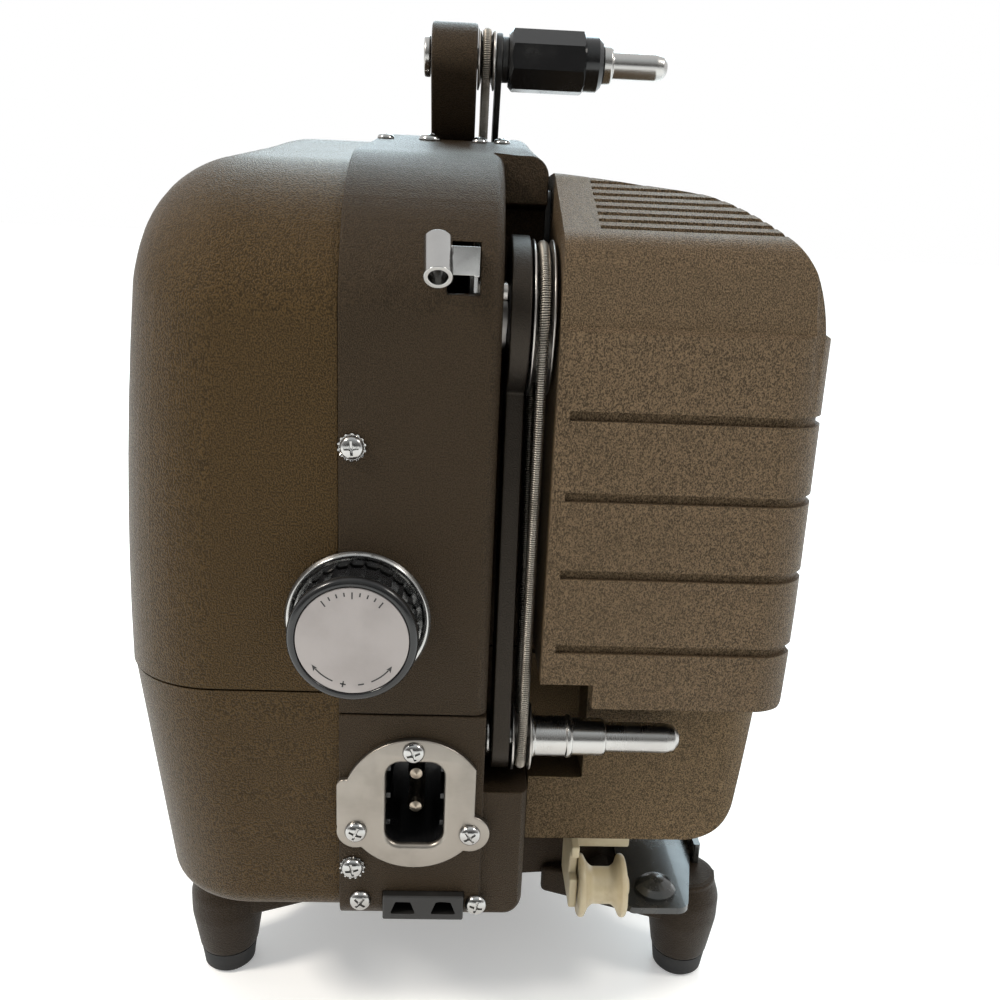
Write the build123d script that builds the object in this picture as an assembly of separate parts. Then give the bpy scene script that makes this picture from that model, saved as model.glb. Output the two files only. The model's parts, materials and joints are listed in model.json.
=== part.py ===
from build123d import *
import os
from math import acos, atan2, cos, degrees, pi, radians, sin, sqrt

# A 16 mm film projector with both of its reel arms folded.
# Lengths are in millimetres. The origin is the centre of the footprint, on the
# surface that the projector stands on. +X is the film side, +Y points at the
# screen and +Z is up.

# Body: a narrow frame with a cover on its left and the film side on its right
rear = -147.0
front = 128.0
left = -88.0
right = 88.0
seam = -29.7
frame_right = 19.6
body_bottom = 43.5
panel_top = 105.0
lower_cover_top = 111.0
frame_wall = 3.0
cover_wall = 2.5
parting_gap = 0.3
cover_step = 0.5
cover_rim = 27.0
side_crown = 880.0
frame_rim = 5.0

# Slot that the take-up arm folds into, and the pocket above it
slot_left = 7.8
slot_right = 21.2
slot_floor = -103.0
slot_bottom = 82.4
slot_top = 225.5
pocket_top = 237.0
pocket_floor = -109.0

# Reel arms: pivot and spindle centres in side view (y, z)
rear_pivot = (-125.0, 204.0)
rear_tip = (-135.0, 93.5)
front_pivot = (22.0, 194.0)
front_tip = (-47.0, 276.0)
arm_half_width = 8.5
arm_disc_radius = 20.0
pivot_shaft_radius = 4.0
running_clearance = 0.05
belt_radius = 1.4
belt_gap = 0.3
drive_belt_line = 17.6
spindle_belt_line = 7.4
reel_spindle_radius = 4.0

# Lamp house cover and the cover below it
lamp_rear = -146.0
lamp_front = 5.0
lamp_bottom = 107.5
lamp_top = 240.0
lamp_step = 204.0
groove_pitch = 19.85
groove_first = 183.2
groove_height = 2.4
groove_depth = 1.1
top_groove_first = -137.85
top_groove_pitch = 3.58
top_groove_count = 9
top_groove_width = 1.7
top_groove_end = 79.5
low_cover_rear = -127.0
low_cover_bottom = 56.0

# Film side
plate_face = 23.7
lens_x = 50.0
lens_z = 150.0
barrel_radius = 21.25
lens_end = 160.0
sprocket_teeth = 12
film_pitch = 7.62
sprocket_radius = sprocket_teeth * film_pitch / (2 * pi)
shaft_radius = 3.0
upper_sprocket_centre = (44.0, 206.0)
lower_sprocket_centre = (44.0, 94.0)
drum_centre = (82.0, 84.0)
guide_centre = (74.0, 216.0)
function_centre = (102.0, 208.0)
focus_y = 74.0

# Controls and fittings on the rear face, and the two sound controls in front
volume_centre = (-15.0, 118.0)
tone_centre = (5.0, 118.0)
knob_centre = (-24.9, 130.9)
knob_end = -160.0
inlet_centre = (-10.0, 80.1)
inlet_width = 15.1
inlet_height = 24.1
lever_hole = (-5.2, 2.3, 210.2, 221.0)
lock_pin_centre = (-141.0, 211.0)

# Base
left_feet_x = -68.6
right_feet_x = 74.0
rear_feet_y = -111.0
front_feet_y = 104.0
leg_top = 34.0
rubber_height = 7.0
roller_centre = (-127.0, 40.3)


# Basic shapes, each placed by its limits along the axes

def block(x0, x1, y0, y1, z0, z1):
    centre = Pos((x0 + x1) / 2, (y0 + y1) / 2, (z0 + z1) / 2)
    return centre * Box(x1 - x0, y1 - y0, z1 - z0)


def rod_x(radius, x0, x1, y, z):
    return extrude(Plane.YZ.offset(x0) * Pos(y, z) * Circle(radius), x1 - x0)


def rod_y(radius, y0, y1, x, z):
    return extrude(Plane.XZ.offset(-y1) * Pos(x, z) * Circle(radius), y1 - y0)


def rod_z(radius, z0, z1, x, y):
    return extrude(Plane.XY.offset(z0) * Pos(x, y) * Circle(radius), z1 - z0)


def rounded_face(points, radii):
    return make_face(FilletPolyline(*points, radius=radii, close=True).edges())


def drawn_in(face, inset):
    return offset(face, amount=-inset) if inset else face


def along_x(face, x0, x1):
    return extrude(Plane.YZ.offset(x0) * face, x1 - x0)


def along_y(face, y0, y1):
    return extrude(Plane.XZ.offset(-y1) * face, y1 - y0)


def along_z(face, z0, z1):
    return extrude(Plane.XY.offset(z0) * face, z1 - z0)


# A turned piece: its outline is (distance along the axis, radius)
def turned(outline, plane):
    return revolve(plane * make_face(Polyline(*outline, close=True).edges()), plane_axis(plane))


def plane_axis(plane):
    return Axis(plane.origin, plane.x_dir)


def turned_x(outline, y, z):
    return turned(outline, Plane(origin=(0, y, z), x_dir=(1, 0, 0), z_dir=(0, -1, 0)))


def turned_y(outline, x, z):
    return turned(outline, Plane(origin=(x, 0, z), x_dir=(0, 1, 0), z_dir=(1, 0, 0)))


def turned_z(outline, x, y):
    return turned(outline, Plane(origin=(x, y, 0), x_dir=(0, 0, 1), z_dir=(0, 1, 0)))


# Body

def side_face(inset=0.0):
    corners = [
        (rear, body_bottom),
        (rear, 227.5),
        (-25.0, 256.0),
        (front, 246.5),
        (front, body_bottom),
    ]
    return drawn_in(rounded_face(corners, [5.5, 28, 90, 34, 12]), inset)


def body_shell():
    outer = along_x(side_face(), seam, frame_right)
    outer = fillet(outer.faces().sort_by(Axis.X)[-1].edges(), frame_rim)
    hollow = along_x(side_face(frame_wall), seam - 1, frame_right - frame_wall)
    slot_walls = block(slot_left - frame_wall, 30, rear - 5, slot_floor + frame_wall,
                       slot_bottom - frame_wall, 270)
    shell = outer - (hollow - slot_walls)
    shell -= block(slot_left, 30, rear - 5, slot_floor, slot_bottom, slot_top)
    return shell - block(slot_left, 30, rear - 5, pocket_floor, slot_top - 1, pocket_top)


def panel_space(top):
    return block(seam - 5, frame_right + 5, rear - 5, slot_floor + frame_wall, 30, top)


def main_frame():
    frame = body_shell() - panel_space(panel_top + parting_gap)
    arm_opening = block(-17, 9, -43, 92, 230, 270)
    x0, x1, z0, z1 = lever_hole
    lever_window = block(x0, x1, rear - 1, rear + 14, z0, z1)
    pin_bore = rod_x(2.2, slot_left - 4, slot_left + 1, *lock_pin_centre)
    knob_bore = rod_y(2.55, rear - 1, rear + 5, *knob_centre)
    frame -= arm_opening + lever_window + pin_bore + knob_bore
    edge = frame.edges().filter_by(Axis.Z).filter_by_position(Axis.X, slot_left - 0.1, slot_left + 0.1)
    edge = edge.filter_by_position(Axis.Y, rear - 0.1, rear + 0.1)
    return fillet(edge, 3)


def connector_panel():
    panel = body_shell() & panel_space(panel_top)
    panel -= block(slot_left, 30, rear - 1, rear + 1.5, 30, slot_bottom + 1)
    x, z = inlet_centre
    inlet = block(x - 8.7, x + 8.7, rear - 1, rear + 5, z - 13.2, z + 13.2)
    outlet = block(-18.0, 3.6, rear - 1, rear + 5, 45.3, 52.7)
    return panel - inlet - outlet


def chassis_plate():
    return along_x(side_face(frame_wall), seam, seam + 2)


def left_cover_upper():
    form = along_x(side_face(cover_step), left - 1, seam)
    form &= rod_y(side_crown, rear - 1, front + 1, left + side_crown, lower_cover_top)
    form -= block(left - 5, seam + 5, rear - 5, front + 5, 0, lower_cover_top)
    rim = form.faces().sort_by(Axis.X)[0].edges().filter_by_position(Axis.Z, lower_cover_top + 1, 300)
    form = fillet(rim, cover_rim)
    open_faces = [form.faces().sort_by(Axis.X)[-1], form.faces().sort_by(Axis.Z)[0]]
    shell = offset(form, amount=-cover_wall, openings=open_faces)
    for i in range(9):
        z = 150 + 6.5 * i
        shell -= block(left - 5, left + 6, 12, 88, z, z + 2.6)
    return shell


def lower_cover_form(inset):
    top_left = left + 0.8 + inset
    low_left = left + 8.6 + inset
    drawn = cover_step + inset
    top_corners = [(seam + inset, rear + drawn), (top_left, rear + drawn),
                   (top_left, front - drawn), (seam + inset, front - drawn)]
    low_corners = [(seam + inset, rear + 2 + drawn), (low_left, rear + 2 + drawn),
                   (low_left, front - 2 - drawn), (seam + inset, front - 2 - drawn)]
    radii = [0, 26 - inset, 26 - inset, 0]
    top = Plane.XY.offset(lower_cover_top - 0.4 + inset) * rounded_face(top_corners, radii)
    low = Plane.XY.offset(body_bottom + inset) * rounded_face(low_corners, radii)
    return loft([low, top])


def left_cover_lower():
    shell = lower_cover_form(0)
    rim = shell.faces().sort_by(Axis.Z)[0].edges().filter_by_position(Axis.X, left, seam - 1)
    shell = fillet(rim, 7)
    hollow = lower_cover_form(cover_wall)
    hollow += Pos(cover_wall, 0, 0) * hollow
    return shell - hollow


# Covers on the film side

def lamp_form(inset=0.0):
    upper_rear = lamp_rear + 1.2
    side = rounded_face([(lamp_rear, lamp_bottom), (lamp_rear, lamp_step - 1), (upper_rear, lamp_step + 0.2),
                         (upper_rear, 223.0), (-107.0, lamp_top), (lamp_front, lamp_top),
                         (lamp_front, lamp_bottom)], [0, 0.5, 0, 9, 18, 9, 0])
    section = rounded_face([(slot_right, lamp_bottom), (right - 3, lamp_bottom), (right, 150.0),
                            (right, lamp_step - 1.4), (right - 3.9, lamp_step + 0.2), (right - 3.9, 233.2),
                            (slot_right, lamp_top)], [0, 2, 60, 1, 0, 31, 0])
    plan = rounded_face([(slot_right, lamp_rear), (right, lamp_rear), (right, lamp_front),
                         (slot_right, lamp_front)], [0, 12, 12, 0])
    form = along_x(drawn_in(side, inset), slot_right + inset, right + 1)
    form &= along_y(drawn_in(section, inset), lamp_rear - 1, lamp_front + 1)
    return form & along_z(drawn_in(plan, inset), lamp_bottom - 1, lamp_top + 1)


def lamp_house_cover():
    cover = lamp_form()
    core = lamp_form(groove_depth)
    for i in range(4):
        z = groove_first - i * groove_pitch
        cover -= block(24.5, right + 5, lamp_rear - 5, lamp_front - 12, z - 1, z - 1 + groove_height) - core
    hollow = lamp_form(cover_wall)
    cover -= hollow + Pos(0, 0, -cover_wall - 1) * hollow
    for i in range(top_groove_count):
        y = top_groove_first + i * top_groove_pitch
        cover -= block(30, top_groove_end, y, y + top_groove_width, 214, 250) - core
    cover -= block(slot_right - 1, 34.7, lamp_rear - 1, -110, lamp_bottom - 1, 114.1)
    cover -= block(slot_right - 1, plate_face, -101, lamp_front + 1, lamp_bottom - 1, 236)
    return cover - rod_y(15, lamp_front - 5, lamp_front + 1, lens_x, lens_z)


def low_cover_form(inset=0.0):
    section = rounded_face([(slot_right, low_cover_bottom), (79.5, low_cover_bottom),
                            (right - 1.6, lamp_bottom - 0.3), (slot_right, lamp_bottom - 0.3)], [0, 14, 0, 0])
    plan = rounded_face([(slot_right, low_cover_rear), (right, low_cover_rear), (right, lamp_front),
                         (slot_right, lamp_front)], [0, 12, 12, 0])
    form = along_y(drawn_in(section, inset), low_cover_rear - 1, lamp_front + 1)
    return form & along_z(drawn_in(plan, inset), low_cover_bottom - 1, lamp_bottom + 1)


def lower_right_cover():
    cover = low_cover_form()
    hollow = low_cover_form(cover_wall)
    cover -= hollow + Pos(0, 0, cover_wall + 1) * hollow
    cover -= block(slot_right - 1, 36.5, low_cover_rear - 1, -112, 76, lamp_bottom + 1)
    pocket = block(slot_right, 36.5 + cover_wall, -112, -112 + cover_wall, 76 - cover_wall, lamp_bottom - 0.3)
    pocket += block(36.5, 36.5 + cover_wall, low_cover_rear, -112, 76 - cover_wall, lamp_bottom - 0.3)
    pocket += block(slot_right, 36.5, low_cover_rear, -112, 76 - cover_wall, 76)
    cover += pocket
    return cover - block(slot_right - 1, plate_face, -101, lamp_front + 1, low_cover_bottom - 1, 110)


# Base

def foot_places():
    return [(x, y) for x in (left_feet_x, right_feet_x) for y in (rear_feet_y, front_feet_y)]


def hull_face(x0, y0, r0, x1, y1, r1):
    first = Pos(x0, y0) * Circle(r0)
    second = Pos(x1, y1) * Circle(r1)
    return make_hull(first.edges() + second.edges())


def base_casting():
    tray = rounded_face([(-48, -116), (50, -106), (50, 112), (-48, 112)], [10, 10, 10, 10])
    base = along_z(tray, 30, body_bottom)
    for x, y in foot_places():
        inner_x = 40 if x > 0 else -36
        inner_y = y * 0.72
        base += along_z(hull_face(inner_x, inner_y, 15, x, y, 9), 22, leg_top)
        base += turned_z([(rubber_height, 0), (rubber_height, 8.6), (14, 9), (28, 9.2), (leg_top, 8.2),
                          (leg_top, 0)], x, y)
    return base


def rubber_feet():
    foot = [(0, 0), (0, 6.4), (1.2, 7.6), (rubber_height, 8.4), (rubber_height, 0)]
    return Compound(children=[turned_z(foot, x, y) for x, y in foot_places()])


def side_plate():
    outline = [(52.4, -131.5), (70, -131.5), (77.5, -101), (77.5, -88), (52.4, -88)]
    plate = along_z(rounded_face(outline, [2, 4, 6, 3, 3]), leg_top, leg_top + 2)
    nut = turned_z([(leg_top + 2, 0), (leg_top + 2, 6), (leg_top + 3, 6), (leg_top + 4.6, 4.6),
                    (leg_top + 5.8, 2.4), (leg_top + 6.2, 0)], 61.7, -123.0)
    lip = along_z(rounded_face([(76.8, -108), (76.8, -88), (78.8, -88), (78.8, -108)], [0.5] * 4),
                  leg_top, leg_top + 7)
    return plate + nut + lip


def roller_bracket():
    y, z = roller_centre
    foot = block(34.5, 52.5, y + 3, y + 15, low_cover_bottom - 5, low_cover_bottom)
    ear = block(34.5, 36.8, y - 4.5, y + 15, z - 4.5, low_cover_bottom)
    ear -= block(34, 37.5, y - 5, y - 1, z + 5, z + 12)
    axle = rod_x(1.9, 36, 51.9, y, z)
    cap = rod_x(2.8, 51.5, 52.6, y, z)
    return foot + ear + axle + cap


def exit_roller():
    y, z = roller_centre
    bore = 1.9 + running_clearance
    outline = [(37.2, bore), (37.2, 8.8), (39.6, 8.8), (41.2, 5.2), (47.4, 5.2), (49.0, 8.8), (51.2, 8.8),
               (51.2, bore)]
    return turned_x(outline, y, z)


# Fittings on the rear face

def inlet_plate():
    x, z = inlet_centre
    outline = Pos(x, z) * Circle(18.8)
    outline &= Pos(x - 2, z) * Rectangle(35.4, 60)
    outline += Pos(x - 14.5, z - 0.5) * RectangleRounded(11.4, 15, 2)
    outline += Pos(x + 14.6, z - 8.5) * Circle(5.2)
    outline += Pos(x - 15.2, z - 8.0) * Circle(5.0)
    outline -= Pos(x, z) * RectangleRounded(inlet_width, inlet_height, 4)
    return along_y(outline, rear - 1.5, rear)


def power_inlet():
    x, z = inlet_centre
    body = block(x - 8.6, x + 8.6, rear, rear + 24, z - 13.1, z + 13.1)
    cavity = Pos(x, z) * RectangleRounded(inlet_width, inlet_height, 4)
    body -= along_y(cavity, rear - 1, rear + 19)
    for rib_x in (x - 7.1, x + 7.1):
        for rib_z in (z - 8, z, z + 8):
            body += block(rib_x - 0.5, rib_x + 0.5, rear + 3, rear + 19.5, rib_z - 0.7, rib_z + 0.7)
    return body


def inlet_pins():
    x, z = inlet_centre
    pin = [(rear + 5, 0), (rear + 5.6, 1.6), (rear + 7, 2.25), (rear + 19, 2.25), (rear + 19, 0)]
    return Compound(children=[turned_y(pin, x, z + dz) for dz in (-5, 5)])


def outlet_block():
    body = block(-18.0, 3.6, rear - 2, rear + frame_wall, 45.3, 52.7)
    body += block(-18.0, 3.6, rear, rear + 14, body_bottom + frame_wall, 52.7)
    for x in (-12.6, -1.8):
        socket = rounded_face([(x - 3.4, 47.2), (x + 3.4, 47.2), (x + 2.0, 50.9), (x - 2.0, 50.9)], [0.4] * 4)
        body -= along_y(socket, rear - 3, rear + 9)
    return body


def screw_head(radius, height):
    head = turned_z([(0, 0), (0, radius), (height * 0.35, radius), (height * 0.75, radius * 0.72),
                     (height, radius * 0.3), (height, 0)], 0, 0)
    cross = Box(radius * 1.15, radius * 0.24, height) + Box(radius * 0.24, radius * 1.15, height)
    return head - Pos(0, 0, height) * cross


def rear_screws():
    x, z = inlet_centre
    on_plate = [(x - 0.5, z + 15.4), (x - 15.2, z - 8.0), (x + 14.6, z - 8.5)]
    on_panel = [(-26.2, 60.3), (-24.1, 50.0), (7.0, 49.0)]
    heads = [(px, rear - 1.5, pz) for px, pz in on_plate]
    heads += [(px, rear, pz) for px, pz in on_panel]
    heads += [(-26.4, rear, 174.4)]
    faces = [Plane(origin=place, x_dir=(1, 0, 0), z_dir=(0, -1, 0)) for place in heads]
    return Compound(children=[face * screw_head(2.9, 1.9) for face in faces])


# Height of the frame's top at a place along the body
def top_at(y):
    slope = (256.0 - 227.5) / (-25.0 - rear)
    return 227.5 + slope * (y - rear)


def top_screws():
    lean = degrees(atan2(256.0 - 227.5, -25.0 - rear))
    heads = []
    for x, y, radius in ((-27.0, -50, 2.6), (-13.4, -49, 3.4), (2.2, -49, 2.6), (9.2, -49, 2.6)):
        place = Pos(x, y, top_at(y)) * Rot(lean, 0, 0)
        heads.append(place * screw_head(radius, radius * 0.75))
    return Compound(children=heads)


def dial_ring():
    x, z = knob_centre
    outline = [(rear, 2.9), (rear, 18), (rear - 0.6, 18), (rear - 1.6, 17), (rear - 1.2, 15.8),
               (rear - 1.0, 2.9)]
    return turned_y(outline, x, z)


def speed_knob():
    x, z = knob_centre
    outline = [(rear + 9, 0), (rear + 9, 2.5), (rear - 1.8, 2.5), (rear - 1.8, 15.4), (knob_end + 2.2, 15.4),
               (knob_end + 1.6, 15.6), (knob_end + 0.5, 15.2), (knob_end, 14.3), (knob_end, 13.5),
               (knob_end + 0.7, 13.4), (knob_end + 0.7, 0)]
    knob = turned_y(outline, x, z)
    flutes = 26
    for i in range(flutes):
        angle = 2 * pi * i / flutes
        knob -= rod_y(1.4, knob_end + 2.6, rear - 1, x + 16.3 * cos(angle), z + 16.3 * sin(angle))
    return knob


def knob_face():
    x, z = knob_centre
    return rod_y(13.3, knob_end + 0.1, knob_end + 0.7, x, z)


def release_lever():
    grip_plane = Plane(origin=(-7.4, rear - 2.6, 222.0), z_dir=(0.04, -0.74, -0.67))
    grip = extrude(grip_plane * Circle(3.2), 11.5)
    grip -= extrude(grip_plane * Circle(2.1), 12)
    plate = block(-7.4, 2.0, rear - 5.6, rear - 4.4, 214.8, 221.0)
    plate -= extrude(grip_plane * Circle(2.1), 12)
    tab = block(0.8, 2.0, rear - 5.6, rear + 18, 214.5, 220.5)
    tab += block(0.8, 2.0, rear + 5, rear + 18, 207.0, 214.5)
    return grip + plate + tab


def lock_pin():
    y, z = lock_pin_centre
    return turned_x([(2.0, 0), (2.0, 2.1), (8.7, 2.1), (9.2, 1.6), (9.2, 0)], y, z)


# Reel arms

def arm_face(pivot, tip, half_width):
    y0, z0 = pivot
    y1, z1 = tip
    return hull_face(y0, z0, half_width, y1, z1, half_width)


def arm_plate(x0, x1, pivot, tip, half_width, tip_bore, rib_side):
    outline = arm_face(pivot, tip, half_width) + Pos(*pivot) * Circle(arm_disc_radius)
    plate = along_x(outline, x0, x1)
    y0, z0 = pivot
    y1, z1 = tip
    recess = hull_face(y0 + (y1 - y0) * 0.3, z0 + (z1 - z0) * 0.3, half_width - 2.2,
                       y0 + (y1 - y0) * 0.82, z0 + (z1 - z0) * 0.82, half_width - 2.2)
    depth = (x1 - x0) * 0.4
    if rib_side > 0:
        plate -= along_x(recess, x1 - depth, x1 + 1)
    if rib_side < 0:
        plate -= along_x(recess, x0 - 1, x0 + depth)
    plate -= rod_x(pivot_shaft_radius + running_clearance, x0 - 1, x1 + 1, *pivot)
    return plate - rod_x(tip_bore, x0 - 1, x1 + 1, *tip)


# An endless round belt about two pulleys: two straight strands and two arcs
def belt(x, pivot, tip):
    y0, z0 = pivot
    y1, z1 = tip
    distance = sqrt((y1 - y0) ** 2 + (z1 - z0) ** 2)
    towards = atan2(z1 - z0, y1 - y0)
    spread = acos((drive_belt_line - spindle_belt_line) / distance)
    loop = None
    for side in (-1, 1):
        angle = towards + side * spread
        start = (x, y0 + drive_belt_line * cos(angle), z0 + drive_belt_line * sin(angle))
        end = (x, y1 + spindle_belt_line * cos(angle), z1 + spindle_belt_line * sin(angle))
        strand_plane = Plane(origin=start, z_dir=Vector(*end) - Vector(*start))
        strand = extrude(strand_plane * Circle(belt_radius), (Vector(*end) - Vector(*start)).length)
        loop = strand if loop is None else loop + strand
    big_arc = 360 - 2 * degrees(spread)
    small_arc = 2 * degrees(spread)
    loop += belt_arc(x, pivot, drive_belt_line, degrees(towards + spread), big_arc)
    return loop + belt_arc(x, tip, spindle_belt_line, degrees(towards - spread), small_arc)


def belt_arc(x, centre, radius, start_angle, arc):
    y, z = centre
    turn = Plane(origin=(x, y, z), x_dir=(0, cos(radians(start_angle)), sin(radians(start_angle))),
                 z_dir=(0, -sin(radians(start_angle)), cos(radians(start_angle))))
    return revolve(turn * Pos(radius, 0) * Circle(belt_radius), Axis((x, y, z), (1, 0, 0)), arc)


# A grooved pulley: belt line radius is the middle of the belt
def pulley(x, centre, belt_line, bore):
    floor = belt_line - belt_radius - belt_gap
    rim = belt_line + belt_radius + 0.2
    side = belt_radius + belt_gap
    outline = [(x - 2.6, bore), (x - 2.6, rim), (x - 2.1, rim), (x - side, belt_line), (x - 1.2, floor),
               (x + 1.2, floor), (x + side, belt_line), (x + 2.1, rim), (x + 2.6, rim), (x + 2.6, bore)]
    return turned_x(outline, *centre)


def rear_arm_shaft():
    r = pivot_shaft_radius
    outline = [(slot_left, 0), (slot_left, 9), (9.2, 9), (9.2, r), (20.4, r), (20.9, r - 0.6), (20.9, 0)]
    return turned_x(outline, *rear_pivot)


def rear_arm():
    return arm_plate(9.6, 14.4, rear_pivot, rear_tip, arm_half_width, 3.0 + running_clearance, 1)


def rear_belt():
    return belt(17.6, rear_pivot, rear_tip)


def rear_drive_pulley():
    return pulley(17.6, rear_pivot, drive_belt_line, pivot_shaft_radius + running_clearance)


def rear_spindle_pulley():
    return pulley(17.6, rear_tip, spindle_belt_line, 3.0)


def rear_spindle():
    r = reel_spindle_radius
    outline = [(8.2, 0), (8.2, 5.5), (9.3, 5.5), (9.3, 3.0), (20.2, 3.0), (20.2, 5.3), (20.8, 5.75),
               (31.0, 5.75), (31.4, 5.4), (31.4, 5.0), (40.0, 5.0), (40.4, 4.6), (40.4, r), (57.0, r),
               (59.4, 3.4), (60.8, 1.8), (61.1, 0)]
    return turned_x(outline, *rear_tip)


def front_arm_shaft():
    return rod_x(pivot_shaft_radius, seam + 2, frame_right - frame_wall, *front_pivot)


def front_arm():
    return arm_plate(-13.3, 0.6, front_pivot, front_tip, 9.8, 3.0 + running_clearance, 1)


def front_arm_cheek():
    outline = arm_face(front_pivot, front_tip, 7.5) + Pos(*front_pivot) * Circle(12)
    cheek = along_x(outline, 6.4, 8.2) + rod_x(6.5, 8.2, 10.2, *front_tip)
    cheek -= rod_x(pivot_shaft_radius + running_clearance, 6, 9, *front_pivot)
    return cheek - rod_x(3.0 + running_clearance, 6, 11, *front_tip)


def front_arm_spacer():
    y0, z0 = front_pivot
    y1, z1 = front_tip
    middle = (y0 * 0.55 + y1 * 0.45, z0 * 0.55 + z1 * 0.45)
    return rod_x(2.6, 0.6, 6.4, *middle)


def front_belt():
    return belt(3.4, front_pivot, front_tip)


def front_drive_pulley():
    return pulley(3.4, front_pivot, drive_belt_line, pivot_shaft_radius + running_clearance)


def front_spindle_pulley():
    return pulley(3.4, front_tip, spindle_belt_line, 3.0)


def front_bearing_housing():
    y, z = front_tip
    faces = RegularPolygon(9.3, 8, major_radius=True, rotation=22.5)
    body = along_x(Pos(y, z) * faces, 10.2, 39.0)
    blank = turned_x([(10.2, 0), (10.2, 7.6), (12.0, 9.6), (32.6, 9.6), (33.6, 8.0), (37.6, 8.0), (39.0, 6.6),
                      (39.0, 0)], y, z)
    return (body & blank) - rod_x(3.0 + running_clearance, 9, 41, y, z)


def front_spindle():
    r = reel_spindle_radius
    outline = [(-15.6, 0), (-15.6, 5.9), (-13.7, 5.9), (-13.7, 3.0), (39.3, 3.0), (39.3, 5.6), (41.9, 5.6),
               (42.3, 5.2), (42.3, r), (55.8, r), (58.2, 3.4), (59.5, 1.8), (59.8, 0)]
    return turned_x(outline, *front_tip)


# Film side

def film_plate():
    outline = [(-100, 60), (-100, 236), (124, 236), (124, 60)]
    plate = along_x(rounded_face(outline, [3, 3, 30, 12]), frame_right, plate_face)
    for y, z in (upper_sprocket_centre, lower_sprocket_centre, drum_centre, guide_centre, function_centre):
        plate -= rod_x(shaft_radius + running_clearance, frame_right - 1, plate_face + 1, y, z)
    return plate


def lamp_socket():
    bracket = block(plate_face, 76, -50, -47.5, 128, 172)
    bracket += block(plate_face, plate_face + 2.5, -70, -47.5, 128, 172)
    holder = rod_y(14, -47.5, -37, lens_x, lens_z)
    return bracket + holder


def projection_lamp():
    outline = [(-37, 0), (-37, 9), (-33, 12), (-26, 19), (-16, 24.5), (-10, 25), (-10, 23.8), (-16, 23.2),
               (-25, 18), (-32, 11), (-34.5, 5), (-34.5, 4), (-22, 4), (-17, 2.6), (-15, 0)]
    return turned_y(outline, lens_x, lens_z)


def shutter_housing():
    body = along_y(rounded_face([(plate_face, 118), (80, 118), (80, 182), (plate_face, 182)], [0, 14, 14, 0]),
                   lamp_front + 0.3, 30)
    return body - rod_y(12, lamp_front - 1, 31, lens_x, lens_z)


def aperture_plate():
    plate = block(plate_face, 62, 30, 32, 110, 190)
    return plate - block(lens_x - 5.2, lens_x + 5.2, 29, 33, lens_z - 3.8, lens_z + 3.8)


def pressure_plate():
    shoe = block(lens_x - 8, lens_x + 8, 32.3, 34.6, 122, 178)
    arm = block(plate_face, lens_x - 8, 33, 34.6, 140, 160)
    shoe += arm
    return shoe - block(lens_x - 5.2, lens_x + 5.2, 31, 36, lens_z - 3.8, lens_z + 3.8)


def lens_holder():
    outline = [(plate_face, 123), (72, 123), (76, 129), (76, 171), (72, 177), (plate_face, 177)]
    body = along_y(rounded_face(outline, [0, 5, 5, 5, 5, 0]), 44, 104)
    body -= rod_y(barrel_radius + running_clearance, 43, 105, lens_x, lens_z)
    return body - rod_x(2 + running_clearance, lens_x + barrel_radius, 80, focus_y, lens_z)


def lens_barrel():
    r = barrel_radius
    outline = [(42, 13), (42, r - 1), (43, r), (108, r), (108, 23), (112, 24), (126, 24), (128, 23),
               (lens_end - 2, 23), (lens_end, 22), (lens_end, 20.5), (150, 17.2), (148, 16), (142, 16),
               (142, 13)]
    barrel = turned_y(outline, lens_x, lens_z)
    grips = 36
    for i in range(grips):
        angle = 2 * pi * i / grips
        barrel -= rod_y(0.8, 113, 125, lens_x + 24.3 * cos(angle), lens_z + 24.3 * sin(angle))
    return barrel


def lens_glass():
    front_lens = turned_y([(142, 0), (142, 16), (146, 16), (148, 11), (149, 6), (149.4, 0)], lens_x, lens_z)
    rear_lens = turned_y([(46.4, 0), (46.8, 6), (48, 13), (51, 13), (51, 0)], lens_x, lens_z)
    return Compound(children=[front_lens, rear_lens])


# A turned knob with straight grips, on a shaft that starts at x_shaft
def grip_knob_x(x_shaft, shaft, x0, x1, y, z, radius, bore_depth, grips):
    outline = [(x_shaft, 0), (x_shaft, shaft), (x0, shaft), (x0, radius * 0.55), (x0 + 1.5, radius),
               (x1 - 1.2, radius), (x1, radius - 1.2),
               (x1, radius * 0.6), (x1 - bore_depth, radius * 0.55), (x1 - bore_depth, 0)]
    knob = turned_x(outline, y, z)
    for i in range(grips):
        angle = 2 * pi * i / grips
        knob -= rod_x(0.8, x0 + 1.4, x1 + 1, y + (radius + 0.3) * cos(angle), z + (radius + 0.3) * sin(angle))
    return knob


def focus_knob():
    return grip_knob_x(lens_x + barrel_radius + 0.4, 2, 76.3, 88, focus_y, lens_z, 11, 0.8, 24)


def sprocket(y, z):
    r = sprocket_radius
    outline = [(frame_right + 0.2, 0), (frame_right + 0.2, shaft_radius), (plate_face + 0.4, shaft_radius),
               (plate_face + 0.4, 5), (38, 5), (38, r - 0.6), (39, r), (43.4, r), (43.4, r - 1.4),
               (53, r - 1.4), (53, r), (56, r), (56, 6), (60, 5), (60, 0)]
    wheel = turned_x(outline, y, z)
    root = Plane(origin=(41.2, y, z), x_dir=(0, 1, 0), z_dir=(1, 0, 0))
    for i in range(sprocket_teeth):
        angle = 360 * i / sprocket_teeth
        tooth = make_face(Polyline((r - 0.5, -0.75), (r + 0.5, -0.6), (r + 1.2, -0.2), (r + 1.2, 0.2),
                                   (r + 0.5, 0.6), (r - 0.5, 0.75), close=True).edges())
        wheel += extrude(root * Rot(0, 0, angle) * tooth, 1.3)
    return wheel


def upper_sprocket():
    return sprocket(*upper_sprocket_centre)


def lower_sprocket():
    return sprocket(*lower_sprocket_centre)


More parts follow.
